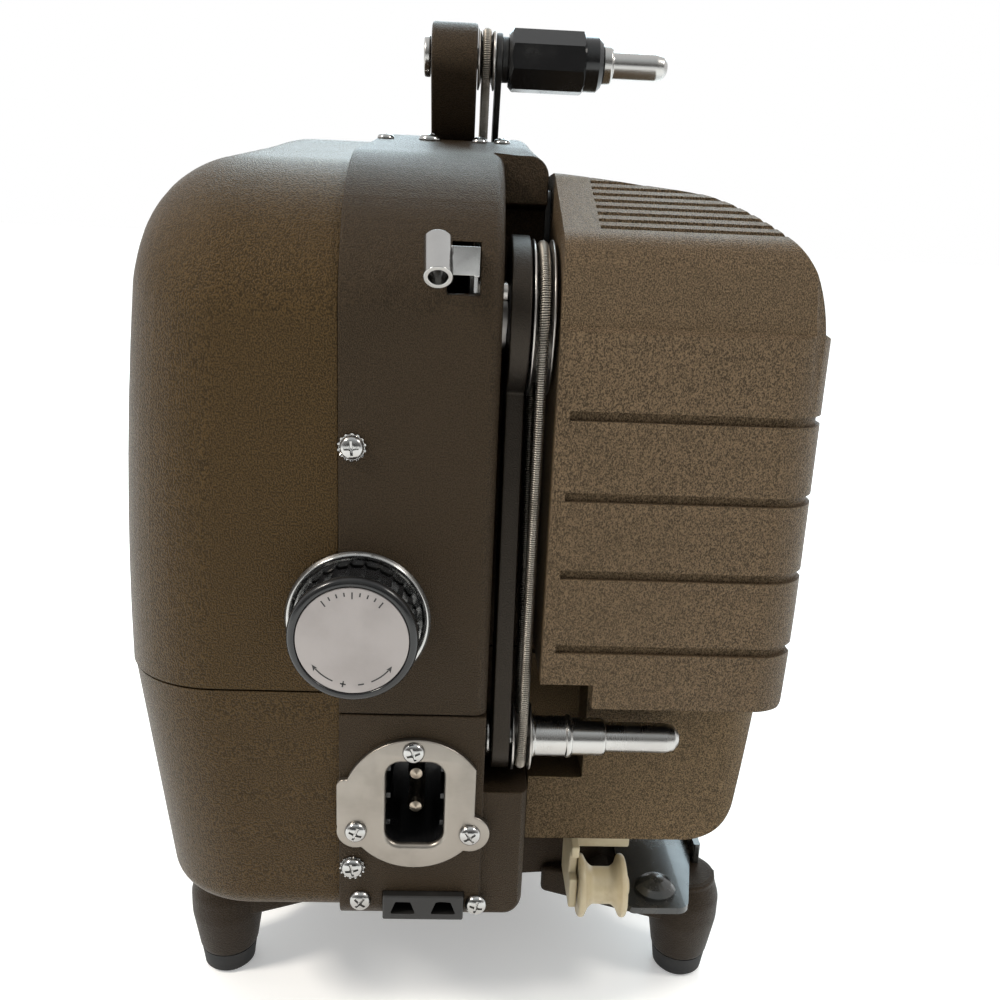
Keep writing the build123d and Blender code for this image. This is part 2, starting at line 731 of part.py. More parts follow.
def sound_drum():
    outline = [(frame_right + 0.2, 0), (frame_right + 0.2, shaft_radius), (plate_face + 0.4, shaft_radius),
               (plate_face + 0.4, 6), (36, 6), (36, 13), (38, 14), (54, 14), (54, 11), (52, 9),
               (52, 0)]
    return turned_x(outline, *drum_centre)


def guide_roller():
    outline = [(frame_right + 0.2, 0), (frame_right + 0.2, shaft_radius), (38, shaft_radius), (38, 8.5),
               (39.4, 8.5), (41, 6.2), (53, 6.2), (54.6, 8.5), (56, 8.5), (56, 3), (58, 2), (58, 0)]
    return turned_x(outline, *guide_centre)


def sound_head():
    body = along_x(rounded_face([(100, 62), (120, 62), (120, 104), (108, 104)], [4, 4, 4, 4]), plate_face, 52)
    return body - rod_y(3, 98, 108, 46, 84)


def function_knob():
    return grip_knob_x(frame_right + 0.2, shaft_radius, plate_face + 0.4, 44, *function_centre, 15, 1.2, 24)


def front_panel():
    outline = [(-27, 62), (17, 62), (17, 142), (-27, 142)]
    panel = along_y(rounded_face(outline, [4, 4, 4, 4]), front, front + 2.5)
    for x, z in (volume_centre, tone_centre):
        panel -= rod_y(2.5 + running_clearance, front - 1, front + 3, x, z)
    return panel


def pointer_knob(x, z):
    knob = turned_y([(front + 0.3, 0), (front + 0.3, 2.5), (front + 2.8, 2.5), (front + 2.8, 8.5),
                     (front + 6, 8.5), (front + 14, 7.2), (front + 15, 6.2), (front + 15, 0)], x, z)
    return knob - block(x - 0.6, x + 0.6, front + 14, front + 16, z, z + 10)


def volume_knob():
    return pointer_knob(*volume_centre)


def tone_knob():
    return pointer_knob(*tone_centre)


# Inside the left bay

def drive_motor():
    return turned_x([(-80, 0), (-80, 22), (-76, 30), (seam - 6, 30), (seam, 26), (seam, 0)], -70, 150)


def transformer():
    core = block(-74, seam, -128, -84, 62, 112)
    coil = block(-77, -74, -122, -90, 72, 104)
    return core + coil


def speaker():
    outline = [(-78.6, 0), (-78.6, 34), (-76, 34), (-74, 30), (-62, 16), (-52, 16), (-52, 5), (seam, 5),
               (seam, 0)]
    return turned_x(outline, 50, 178)


pieces = [
    main_frame, connector_panel, chassis_plate, left_cover_upper, left_cover_lower, lamp_house_cover,
    lower_right_cover, base_casting, rubber_feet, side_plate, roller_bracket, exit_roller, inlet_plate,
    power_inlet, inlet_pins, outlet_block, rear_screws, top_screws, dial_ring, speed_knob, knob_face,
    release_lever, lock_pin, rear_arm_shaft, rear_arm, rear_belt, rear_drive_pulley, rear_spindle_pulley,
    rear_spindle, front_arm_shaft, front_arm, front_arm_cheek, front_arm_spacer, front_belt,
    front_drive_pulley, front_spindle_pulley, front_bearing_housing, front_spindle, film_plate, lamp_socket,
    projection_lamp, shutter_housing, aperture_plate, pressure_plate, lens_holder, lens_barrel, lens_glass,
    focus_knob, upper_sprocket, lower_sprocket, sound_drum, guide_roller, sound_head, function_knob,
    front_panel, volume_knob, tone_knob, drive_motor, transformer, speaker,
]

os.makedirs("parts", exist_ok=True)
for piece in pieces:
    solid = piece()
    export_step(solid, os.path.join("parts", piece.__name__ + ".step"))
    print(piece.__name__, round(solid.volume))
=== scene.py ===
import json
import math

import bmesh
import bpy
from mathutils import Matrix, Vector


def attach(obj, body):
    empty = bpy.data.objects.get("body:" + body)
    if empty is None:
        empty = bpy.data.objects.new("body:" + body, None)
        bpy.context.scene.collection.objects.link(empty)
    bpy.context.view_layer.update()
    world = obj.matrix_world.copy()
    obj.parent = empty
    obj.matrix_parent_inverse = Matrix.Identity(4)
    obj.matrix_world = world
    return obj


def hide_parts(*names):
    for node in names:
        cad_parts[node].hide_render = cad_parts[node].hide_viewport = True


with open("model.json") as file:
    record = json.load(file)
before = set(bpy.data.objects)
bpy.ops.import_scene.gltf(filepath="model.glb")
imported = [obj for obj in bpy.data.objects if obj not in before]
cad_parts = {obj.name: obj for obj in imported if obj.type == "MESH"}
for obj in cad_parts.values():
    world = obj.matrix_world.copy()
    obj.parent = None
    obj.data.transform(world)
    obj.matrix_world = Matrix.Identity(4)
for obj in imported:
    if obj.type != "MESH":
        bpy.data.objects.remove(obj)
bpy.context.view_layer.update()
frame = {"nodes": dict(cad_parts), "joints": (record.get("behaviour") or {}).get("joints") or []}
nodes = frame["nodes"]
mm = 0.001
rear = -147.0  # y of the painted rear face, in millimetres
print("frame loaded:", len(nodes), "nodes")


# Camera, placed as the photograph was taken: behind the projector and a little above it
cameraSettings = {
    "place": (-0.0015, -0.3658, 0.223),
    "yaw": 2.7,
    "pitch": 15.4,
    "roll": 2.5,
    "focalPixels": 950,
    "imagePixels": 1000,
    "sensor": 36,
    "clipStart": 0.01,
}


def makeCamera(settings):
    yaw = math.radians(settings["yaw"])
    pitch = math.radians(settings["pitch"])
    roll = math.radians(settings["roll"])
    forward = Vector((math.sin(yaw) * math.cos(pitch), math.cos(yaw) * math.cos(pitch), -math.sin(pitch)))
    level = Vector((math.cos(yaw), -math.sin(yaw), 0))
    upright = level.cross(forward)
    right = math.cos(roll) * level + math.sin(roll) * upright
    up = math.cos(roll) * upright - math.sin(roll) * level
    camera = bpy.data.objects.new("camera", bpy.data.cameras.new("camera"))
    bpy.context.scene.collection.objects.link(camera)
    turn = Matrix((right, up, -forward)).transposed()
    camera.matrix_world = Matrix.Translation(settings["place"]) @ turn.to_4x4()
    camera.data.sensor_width = settings["sensor"]
    camera.data.lens = settings["sensor"] * settings["focalPixels"] / settings["imagePixels"]
    camera.data.clip_start = settings["clipStart"]
    bpy.context.scene.camera = camera


makeCamera(cameraSettings)
print("camera placed")


# A node's output. Sums written on it add Math nodes.
class Sock:
    def __init__(self, graph, out):
        self.graph = graph
        self.out = out

    def math(self, operation, *values):
        inputs = {i: value for i, value in enumerate(values)}
        return self.graph.node("ShaderNodeMath", {"operation": operation}, inputs)

    def __add__(self, other):
        return self.math("ADD", self, other)

    def __radd__(self, other):
        return self.math("ADD", other, self)

    def __sub__(self, other):
        return self.math("SUBTRACT", self, other)

    def __rsub__(self, other):
        return self.math("SUBTRACT", other, self)

    def __mul__(self, other):
        return self.math("MULTIPLY", self, other)

    def __rmul__(self, other):
        return self.math("MULTIPLY", other, self)

    def smooth(self, low, high):  # 0 below low, 1 above high
        return self.graph.node("ShaderNodeMapRange", {"interpolation_type": "SMOOTHSTEP"},
                               {"Value": self, "From Min": low, "From Max": high})


# The nodes of one material or of one geometry tree
class Graph:
    def __init__(self, tree):
        self.tree = tree

    def node(self, kind, settings=None, inputs=None, output=0):
        made = self.tree.nodes.new(kind)
        for name, value in (settings or {}).items():
            setattr(made, name, value)
        for name, value in (inputs or {}).items():
            if isinstance(value, Sock):
                self.tree.links.new(value.out, made.inputs[name])
            else:
                made.inputs[name].default_value = value
        return Sock(self, made.outputs[output])

    def mix(self, share, first, second):
        return self.node("ShaderNodeMix", {"data_type": "RGBA"}, {0: share, 6: first, 7: second}, 2)

    def vector(self, operation, first, second):
        return self.node("ShaderNodeVectorMath", {"operation": operation}, {0: first, 1: second})

    def place(self):
        return self.node("ShaderNodeTexCoord", output="Object")

    def noise(self, size, detail=2.0, roughness=0.5, stretch=(1, 1, 1)):
        scaled = self.vector("MULTIPLY", self.place(), [s / size for s in stretch])
        return self.node("ShaderNodeTexNoise", None,
                         {"Vector": scaled, "Scale": 1.0, "Detail": detail, "Roughness": roughness})

    def bump(self, height, depth):
        return self.node("ShaderNodeBump", None, {"Height": height, "Distance": depth, "Strength": 1.0})


def colour(red, green, blue):  # from the 0 to 255 of a screen
    def linear(value):
        value = value / 255
        return value / 12.92 if value <= 0.04045 else ((value + 0.055) / 1.055) ** 2.4
    return (linear(red), linear(green), linear(blue), 1)


def newFinish(name, build, **fixed):
    material = bpy.data.materials.new(name)
    material.use_nodes = True
    tree = material.node_tree
    tree.nodes.clear()
    graph = Graph(tree)
    shader = tree.nodes.new("ShaderNodeBsdfPrincipled")
    output = tree.nodes.new("ShaderNodeOutputMaterial")
    tree.links.new(shader.outputs[0], output.inputs["Surface"])
    for socket, value in build(graph).items():
        if isinstance(value, Sock):
            tree.links.new(value.out, shader.inputs[socket])
        else:
            shader.inputs[socket].default_value = value
    for socket, value in fixed.items():
        shader.inputs[socket.replace("_", " ")].default_value = value
    return material


# How large the worn, smeared and dusty areas are
wearSizes = {"mottle": 45 * mm, "scuff": 7 * mm, "smear": 14 * mm, "dust": 11 * mm, "haze": 7 * mm}


# Crinkled paint of the covers, the frame and the base. Its colour follows the crinkle's height: painted highlight on
# the crests and painted shade in the pits, on top of the paint's own tone
def grainedPaint(settings):
    def build(g):
        size = settings["grain"]
        coarse = g.noise(size, 0.0, 0.5, stretch=settings["stretch"])
        fine = g.noise(size * 0.45, 1.0, 0.5)
        broad = g.noise(wearSizes["mottle"], 3.0, 0.55)
        height = coarse.smooth(0.25, 0.75) * 0.7 + fine.smooth(0.2, 0.8) * 0.3
        # painted light and shade: the crests take the light colour and the pits the dark one, on top of the crinkle's
        # own tone
        tone = g.mix(height, settings["low"], settings["high"])
        dusty = g.mix(broad.smooth(0.4, 0.75) * settings["mottle"], tone, settings["dusty"])
        scuff = g.noise(wearSizes["scuff"], 5.0, 0.7).smooth(0.6, 0.75)
        return {
            "Base Color": dusty,
            "Roughness": settings["rough"] + (1 - height) * 0.12 - scuff * 0.05 + broad * 0.06,
            "Normal": g.bump(height, settings["depth"]),
        }
    return newFinish(settings["name"], build, Specular_IOR_Level=settings["gloss"], Specular_Tint=settings["sheen"])


# high is the crest colour, which carries painted highlight; low is the pit colour, which carries painted shade
coverSettings = {"name": "coverPaint", "grain": 0.28 * mm, "stretch": (1, 1, 0.7), "depth": 0.26 * mm,
                 "high": colour(117, 98, 76), "low": colour(14, 9, 4), "dusty": colour(76, 63, 46),
                 "mottle": 0.2, "rough": 0.38, "gloss": 0.48, "sheen": (0.66, 0.5, 0.33, 1)}
leftSettings = {"name": "leftPaint", "grain": 0.36 * mm, "stretch": (1, 1, 0.8), "depth": 0.16 * mm,
                "high": colour(74, 57, 33), "low": colour(4, 3, 2), "dusty": colour(42, 32, 18),
                "mottle": 0.2, "rough": 0.36, "gloss": 0.40, "sheen": (0.68, 0.48, 0.27, 1)}
lowerSettings = {"name": "lowerPaint", "grain": 0.28 * mm, "stretch": (1, 1, 0.8), "depth": 0.2 * mm,
                 "high": colour(126, 105, 78), "low": colour(22, 16, 9), "dusty": colour(90, 75, 57),
                 "mottle": 0.2, "rough": 0.42, "gloss": 0.34, "sheen": (0.85, 0.65, 0.4, 1)}
frameSettings = {"name": "framePaint", "grain": 0.3 * mm, "stretch": (1, 1, 0.8), "depth": 0.14 * mm,
                 "high": colour(53, 42, 30), "low": colour(4, 3, 2), "dusty": colour(38, 31, 23),
                 "mottle": 0.2, "rough": 0.36, "gloss": 0.40, "sheen": (0.65, 0.5, 0.35, 1)}
baseSettings = {"name": "basePaint", "grain": 0.34 * mm, "stretch": (1, 1, 1), "depth": 0.11 * mm,
                "high": colour(44, 35, 27), "low": colour(12, 9, 7), "dusty": colour(36, 29, 23),
                "mottle": 0.3, "rough": 0.42, "gloss": 0.3, "sheen": (0.7, 0.55, 0.4, 1)}
# a darker copy of the frame paint for the rear arm: painted shade of the slot it stands in
shadedArmSettings = {"name": "armPaint", "grain": 0.30 * mm, "stretch": (1, 1, 1), "depth": 0.05 * mm,
               "high": colour(24, 19, 14), "low": colour(9, 7, 5), "dusty": colour(28, 23, 18),
               "mottle": 0.2, "rough": 0.28, "gloss": 0.45, "sheen": (0.7, 0.6, 0.5, 1)}


# Bare and plated metals
def metal(settings):
    def build(g):
        brushed = g.noise(settings["line"], 4.0, 0.65, stretch=settings["stretch"])
        smear = g.noise(wearSizes["smear"], 4.0, 0.6).smooth(0.4, 0.75)
        tone = g.mix(smear * settings["stain"], settings["tone"], settings["dull"])
        return {
            "Base Color": tone,
            "Metallic": 1.0,
            "Roughness": settings["rough"] + brushed * settings["spread"] + smear * 0.08,
            "Normal": g.bump(brushed, settings["depth"]),
        }
    return newFinish(settings["name"], build)


chromeSettings = {"name": "chromePlate", "line": 3 * mm, "stretch": (1, 1, 1), "stain": 0.4,
                  "tone": (0.40, 0.395, 0.385, 1), "dull": (0.26, 0.245, 0.23, 1), "rough": 0.10, "spread": 0.12,
                  "depth": 0.004 * mm}
turnedSettings = {"name": "turnedSteel", "line": 0.5 * mm, "stretch": (6, 0.35, 0.35), "stain": 0.4,
                  "tone": (0.42, 0.40, 0.375, 1), "dull": (0.26, 0.24, 0.22, 1), "rough": 0.22, "spread": 0.2,
                  "depth": 0.012 * mm}
spindleSettings = {"name": "spindleSteel", "line": 0.6 * mm, "stretch": (5, 0.3, 0.3), "stain": 0.3,
                   "tone": (0.44, 0.43, 0.415, 1), "dull": (0.27, 0.255, 0.24, 1), "rough": 0.16, "spread": 0.16,
                   "depth": 0.006 * mm}
aluminiumSettings = {"name": "brushedAluminium", "line": 0.45 * mm, "stretch": (0.12, 1, 3), "stain": 0.5,
                     "tone": (0.275, 0.25, 0.22, 1), "dull": (0.20, 0.18, 0.155, 1), "rough": 0.26, "spread": 0.2,
                     "depth": 0.014 * mm}
dialSettings = {"name": "satinDial", "line": 0.3 * mm, "stretch": (1, 1, 1), "stain": 0.3,
                "tone": (0.31, 0.285, 0.275, 1), "dull": (0.25, 0.23, 0.22, 1), "rough": 0.42, "spread": 0.1,
                "depth": 0.006 * mm}
wireSettings = {"name": "springWire", "line": 0.4 * mm, "stretch": (1, 1, 1), "stain": 0.8,
                "tone": (0.33, 0.30, 0.26, 1), "dull": (0.15, 0.13, 0.105, 1), "rough": 0.3, "spread": 0.2,
                "depth": 0.004 * mm}
pinSettings = {"name": "pinMetal", "line": 0.4 * mm, "stretch": (1, 4, 1), "stain": 0.5,
               "tone": (0.42, 0.36, 0.29, 1), "dull": (0.24, 0.19, 0.14, 1), "rough": 0.2, "spread": 0.15,
               "depth": 0.006 * mm}


# Mouldings, enamel, rubber and glass
def moulding(settings):
    def build(g):
        fine = g.noise(settings["grain"], 3.0, 0.6)
        dust = g.noise(wearSizes["dust"], 5.0, 0.65).smooth(0.45, 0.8)
        tone = g.mix(dust * settings["dusting"], settings["tone"], settings["dusty"])
        return {
            "Base Color": tone,
            "Roughness": settings["rough"] + fine * 0.1 + dust * 0.15,
            "Normal": g.bump(fine, settings["depth"]),
        }
    return newFinish(settings["name"], build, Coat_Weight=settings.get("coat", 0.0))


blackSettings = {"name": "blackMoulding", "grain": 0.5 * mm, "tone": colour(18, 17, 16), "dusty": colour(44, 41, 37),
                 "dusting": 0.3, "rough": 0.45, "depth": 0.03 * mm}
glossSettings = {"name": "glossyBlack", "grain": 4 * mm, "tone": colour(20, 20, 21), "dusty": colour(52, 50, 47),
                 "dusting": 0.2, "rough": 0.14, "depth": 0.01 * mm}
ivorySettings = {"name": "ivoryMoulding", "grain": 2 * mm, "tone": colour(190, 176, 145), "dusty": colour(150, 128, 96),
                 "dusting": 0.6, "rough": 0.32, "depth": 0.02 * mm}
rubberSettings = {"name": "footRubber", "grain": 0.6 * mm, "tone": colour(30, 30, 31), "dusty": colour(78, 74, 68),
                  "dusting": 0.5, "rough": 0.7, "depth": 0.06 * mm}
enamelSettings = {"name": "darkEnamel", "grain": 1.6 * mm, "tone": colour(40, 41, 40), "dusty": colour(72, 68, 60),
                  "dusting": 0.35, "rough": 0.16, "depth": 0.015 * mm, "coat": 0.3}
inkSettings = {"name": "blackInk", "grain": 0.3 * mm, "tone": colour(24, 22, 22), "dusty": colour(60, 56, 54),
               "dusting": 0.2, "rough": 0.5, "depth": 0.004 * mm}


def coatedGlass():
    def build(g):
        haze = g.noise(wearSizes["haze"], 4.0, 0.6).smooth(0.4, 0.8)
        return {"Base Color": g.mix(haze, (0.80, 0.86, 0.95, 1), (0.86, 0.82, 0.92, 1)),
                "Roughness": 0.02 + haze * 0.05}
    return newFinish("coatedGlass", build, Transmission_Weight=1.0, IOR=1.5, Coat_Weight=0.4)


finishes = {
    "coverPaint": grainedPaint(coverSettings),
    "leftPaint": grainedPaint(leftSettings),
    "lowerPaint": grainedPaint(lowerSettings),
    "framePaint": grainedPaint(frameSettings),
    "basePaint": grainedPaint(baseSettings),
    "chrome": metal(chromeSettings),
    "turnedSteel": metal(turnedSettings),
    "aluminium": metal(aluminiumSettings),
    "dial": metal(dialSettings),
    "spindle": metal(spindleSettings),
    "armPaint": grainedPaint(shadedArmSettings),
    "wire": metal(wireSettings),
    "pinMetal": metal(pinSettings),
    "black": moulding(blackSettings),
    "gloss": moulding(glossSettings),
    "ivory": moulding(ivorySettings),
    "rubber": moulding(rubberSettings),
    "enamel": moulding(enamelSettings),
    "ink": moulding(inkSettings),
    "glass": coatedGlass(),
}
finishOf = {
    "coverPaint": ["lamp_house_cover"],
    "leftPaint": ["left_cover_upper", "left_cover_lower"],
    "lowerPaint": ["lower_right_cover"],
    "framePaint": ["main_frame", "connector_panel", "rear_arm", "front_arm", "shutter_housing"],
    "basePaint": ["base_casting"],
    "chrome": ["rear_screws", "top_screws", "dial_ring", "rear_spindle", "front_spindle", "release_lever",
               "sound_drum"],
    "turnedSteel": ["chassis_plate", "rear_arm_shaft", "front_arm_shaft", "aperture_plate", "pressure_plate",
                    "drive_motor", "transformer", "front_arm_spacer", "upper_sprocket", "lower_sprocket",
                    "lock_pin", "rear_drive_pulley", "rear_spindle_pulley", "front_drive_pulley",
                    "front_spindle_pulley"],
    "aluminium": ["inlet_plate", "lamp_socket", "projection_lamp", "front_panel"],
    "dial": ["knob_face"],
    "wire": ["rear_belt", "front_belt"],
    "pinMetal": ["inlet_pins"],
    "black": ["outlet_block", "front_arm_cheek", "speaker"],
    "gloss": ["power_inlet", "front_bearing_housing", "speed_knob", "lens_barrel", "focus_knob", "function_knob",
              "volume_knob", "tone_knob"],
    "ivory": ["roller_bracket", "exit_roller", "guide_roller"],
    "rubber": ["rubber_feet"],
    "enamel": ["side_plate", "film_plate", "lens_holder", "sound_head"],
    "glass": ["lens_glass"],
}
for finish, names in finishOf.items():
    for name in names:
        mesh = nodes[name].data
        mesh.materials.clear()
        mesh.materials.append(finishes[finish])
print("finishes given to", sum(len(names) for names in finishOf.values()), "nodes")


# Floor and light. The sky is bright above and beyond the projector and dark behind the camera.
studio = {
    "floorSize": 60.0,
    "floor": colour(243, 243, 242),
    "floorGlow": 0.3,
    "sky": {"base": 0.04, "above": 0.8, "beyond": 1.2, "sides": 0.15},
    "aim": (0, 0, 0.14),
    "lamps": [  # name, place, size, power, tint
        ("leftBox", (-0.90, -0.50, 1.10), 0.25, 13, (1.0, 0.93, 0.84)),
        ("rightBox", (0.85, -0.40, 1.0), 0.25, 5, (1.0, 0.95, 0.88)),
        ("farBox", (0.1, 1.2, 1.1), 1.2, 20, (0.70, 0.90, 1.0)),
    ],
}


def seenDirectly(g, mirrored=1.0):  # 1 for what the camera sees, also through glass and as mirrored in metal
    rays = [g.node("ShaderNodeLightPath", output="Is %s Ray" % kind) for kind in ("Camera", "Glossy", "Transmission")]
    return rays[0].math("MAXIMUM", rays[0], rays[2].math("MAXIMUM", rays[2], rays[1] * mirrored))


def makeFloor(settings):
    bpy.ops.mesh.primitive_plane_add(size=settings["floorSize"], location=(0, 0, 0))
    floor = bpy.context.object
    floor.name = "floor"

    def build(g):
        shade = g.noise(0.4, 2.0)
        return {"Base Color": g.mix(shade * 0.15, settings["floor"], (1, 1, 1, 1)), "Roughness": 0.9,
                "Emission Color": g.mix(seenDirectly(g), (0, 0, 0, 1), (1, 1, 1, 1))}
    floor.data.materials.append(newFinish("floorCard", build, Emission_Strength=settings["floorGlow"]))


def makeLamps(settings):
    for name, place, size, power, tint in settings["lamps"]:
        light = bpy.data.lights.new(name, "AREA")
        light.size = size
        light.energy = power
        light.color = tint
        lamp = bpy.data.objects.new(name, light)
        lamp.location = place
        aim = Vector(settings["aim"]) - Vector(place)
        lamp.rotation_euler = aim.to_track_quat("-Z", "Y").to_euler()
        bpy.context.scene.collection.objects.link(lamp)


def makeSky(settings):
    world = bpy.data.worlds.new("studio")
    bpy.context.scene.world = world
    world.use_nodes = True
    tree = world.node_tree
    tree.nodes.clear()
    g = Graph(tree)
    sky = settings["sky"]
    split = tree.nodes.new("ShaderNodeSeparateXYZ")
    tree.links.new(g.node("ShaderNodeTexCoord", output="Generated").out, split.inputs[0])
    across, along, upward = (Sock(g, split.outputs[i]) for i in range(3))
    glow = sky["base"] + upward.smooth(0.0, 0.9) * sky["above"] + along.smooth(0.0, 0.9) * sky["beyond"]
    glow = glow + across.math("ABSOLUTE", across).smooth(0.3, 1.0) * sky["sides"]
    seen = seenDirectly(g, along.smooth(-0.75, 0.1))  # metal shows the backdrop, and a dim room behind the camera
    strength = glow + seen * (1 - glow)
    tint = g.mix(upward.smooth(-0.1, 0.8), (1.0, 0.96, 0.91, 1), (0.93, 0.98, 1.0, 1))
    shown = g.mix(seen, tint, (1, 1, 1, 1))
    background = g.node("ShaderNodeBackground", None, {"Color": shown, "Strength": strength})
    output = tree.nodes.new("ShaderNodeOutputWorld")
    tree.links.new(background.out, output.inputs["Surface"])


makeFloor(studio)
makeLamps(studio)
makeSky(studio)
bpy.context.scene.view_settings.view_transform = "Standard"
print("studio made")


# What several pieces need

def addPiece(name, mesh, body, finish, replaces=()):
    if finish:
        mesh.materials.clear()
        mesh.materials.append(finishes[finish])
    piece = bpy.data.objects.new(name, mesh)
    bpy.context.scene.collection.objects.link(piece)
    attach(piece, body)
    if replaces:
        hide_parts(*replaces)
    return piece


def settled(source, name):  # the evaluated object as a plain mesh
    bpy.context.view_layer.update()
    graph = bpy.context.evaluated_depsgraph_get()
    mesh = bpy.data.meshes.new_from_object(source.evaluated_get(graph))
    mesh.name = name
    return mesh


def held(mesh):  # an object that carries a mesh while it is worked on
    holder = bpy.data.objects.new("holder", mesh)
    bpy.context.scene.collection.objects.link(holder)
    return holder


def jointPlace(name):
    for joint in frame["joints"]:
        if joint["name"] == name:
            return Vector(joint["pos_m"])


def shadeByAngle(mesh, degrees):
    mesh.polygons.foreach_set("use_smooth", [True] * len(mesh.polygons))
    mesh.set_sharp_from_angle(angle=math.radians(degrees))


def evenNormals(mesh, degrees=40):  # flat faces keep their own direction beside rounded edges
    shadeByAngle(mesh, degrees)
    holder = held(mesh)
    weighted = holder.modifiers.new("weighted", "WEIGHTED_NORMAL")
    weighted.keep_sharp = True
    made = settled(holder, mesh.name)
    bpy.data.objects.remove(holder)
    return made


def meshFrom(work, name):
    mesh = bpy.data.meshes.new(name)
    work.to_mesh(mesh)
    work.free()
    return mesh


def mergedNode(name):  # a CAD node's loose triangles as one surface, its flat faces whole
    work = bmesh.new()
    work.from_mesh(nodes[name].data)
    bmesh.ops.remove_doubles(work, verts=work.verts, dist=0.002 * mm)
    bmesh.ops.dissolve_limit(work, angle_limit=math.radians(0.3), verts=work.verts, edges=work.edges)
    return work


def joined(meshes, name):
    work = bmesh.new()
    for mesh in meshes:
        work.from_mesh(mesh)
    return meshFrom(work, name)


# An outline of (distance, radius, flute depth) with its corners rounded by small arcs
def softened(outline, radius, steps=3):
    points = [Vector((p[0], p[1], p[2] if len(p) > 2 else 0)) for p in outline]
    made = [points[0]]
    for before, corner, after in zip(points, points[1:], points[2:]):
        back, onward = before - corner, after - corner
        trim = min(radius, back.length * 0.45, onward.length * 0.45)
        start = corner + back.normalized() * trim
        stop = corner + onward.normalized() * trim
        for i in range(steps + 1):
            t = i / steps
            made.append(start * (1 - t) ** 2 + corner * 2 * t * (1 - t) + stop * t * t)
    return made + [points[-1]]


# A turned piece. The outline is in millimetres and runs from the axis back to the axis, or round a bore.
def lathe(name, outline, axis, centre, soft=0.25, segments=96, flutes=0, closed=False):
    points = softened(outline, soft)
    ridgeWidth = 0.34  # of the rib between two flutes
    rows = []
    verts, faces = [], []
    for along, radius, depth in points:
        count = segments if radius > 0.001 else 1
        rows.append(range(len(verts), len(verts) + count))
        for i in range(count):
            angle = 2 * math.pi * i / segments
            ridge = math.exp(-(math.sin(flutes * angle / 2) / ridgeWidth) ** 2) if flutes else 1
            r = radius - depth * (1 - ridge)
            round1, round2 = r * math.cos(angle), r * math.sin(angle)
            place = (along, round1, round2) if axis == "X" else (round1, along, round2)
            verts.append(Vector(place) * mm + centre)
    pairs = list(zip(rows, rows[1:])) + ([(rows[-1], rows[0])] if closed else [])
    for first, second in pairs:
        for i in range(segments):
            j = (i + 1) % segments
            ring = [first[i % len(first)], first[j % len(first)], second[j % len(second)], second[i % len(second)]]
            ring = list(dict.fromkeys(ring))
            if len(ring) > 2:
                faces.append(ring)
    mesh = bpy.data.meshes.new(name)
    mesh.from_pydata(verts, [], faces)
    work = bmesh.new()
    work.from_mesh(mesh)
    bmesh.ops.remove_doubles(work, verts=work.verts, dist=0.0005 * mm)
    bmesh.ops.recalc_face_normals(work, faces=work.faces)
    work.to_mesh(mesh)
    work.free()
    shadeByAngle(mesh, 50)
    return mesh


# The sharp edges of a CAD node broken, so that they catch the light
def refine(name, width, segments=2, sharp=32):
    work = mergedNode(name)
    edges = [e for e in work.edges if len(e.link_faces) == 2 and e.calc_face_angle() > math.radians(sharp)]
    edges = [e for e in edges if e.calc_length() > width * 0.6]
    bmesh.ops.bevel(work, geom=edges, offset=width, segments=segments, profile=0.5, affect="EDGES",
                    clamp_overlap=False, harden_normals=False)
    return meshFrom(work, name + "Shape")


# A geometry tree with named inputs. It ends by realising what it made and giving it a material.
def newTree(name, sockets):
    tree = bpy.data.node_groups.new(name, "GeometryNodeTree")
    tree.interface.new_socket("Geometry", in_out="INPUT", socket_type="NodeSocketGeometry")
    for label, kind in sockets:
        tree.interface.new_socket(label, in_out="INPUT", socket_type=kind)
    tree.interface.new_socket("Material", in_out="INPUT", socket_type="NodeSocketMaterial")
    tree.interface.new_socket("Geometry", in_out="OUTPUT", socket_type="NodeSocketGeometry")
    graph = Graph(tree)
    given = tree.nodes.new("NodeGroupInput")
    labels = ["Geometry", "Material"] + [label for label, kind in sockets]
    return graph, {label: Sock(graph, given.outputs[label]) for label in labels}


def closeTree(g, geometry, material):
    real = g.node("GeometryNodeRealizeInstances", None, {"Geometry": geometry})
    painted = g.node("GeometryNodeSetMaterial", None, {"Geometry": real, "Material": material})
    output = g.tree.nodes.new("NodeGroupOutput")
    g.tree.links.new(painted.out, output.inputs["Geometry"])
    return g.tree


def grown(name, tree, source, values):
    holder = held(source)
    modifier = holder.modifiers.new("grown", "NODES")
    modifier.node_group = tree
    for item in tree.interface.items_tree:
        if item.in_out == "INPUT" and item.name in values:
            modifier[item.identifier] = values[item.name]
    mesh = settled(holder, name)
    holder.modifiers.clear()
    bpy.data.objects.remove(holder)
    return mesh


# Reel arm belts, wound from fine wire. The path is two arcs and the strands between them.
beltSettings = {"pulleyLine": 17.6 * mm, "spindleLine": 7.4 * mm, "coil": 1.16 * mm, "wire": 0.235 * mm,
                "pitch": 0.56 * mm, "pointsPerTurn": 9, "arcSteps": 60, "lines": {"rear": 17.6 * mm, "front": 3.4 * mm}}


def beltPath(x, pulley, spindle, settings):
    reach = math.hypot(spindle.y - pulley.y, spindle.z - pulley.z)
    towards = math.atan2(spindle.z - pulley.z, spindle.y - pulley.y)
    spread = math.acos((settings["pulleyLine"] - settings["spindleLine"]) / reach)
    points = []
    steps = settings["arcSteps"]
    for centre, radius, first, arc in (
            (pulley, settings["pulleyLine"], towards + spread, 2 * math.pi - 2 * spread),
            (spindle, settings["spindleLine"], towards - spread, 2 * spread)):
        for i in range(steps + 1):
            angle = first + arc * i / steps
            points.append((x, centre.y + radius * math.cos(angle), centre.z + radius * math.sin(angle)))
    mesh = bpy.data.meshes.new("beltPath")
    mesh.from_pydata(points, [(i, (i + 1) % len(points)) for i in range(len(points))], [])
    return mesh


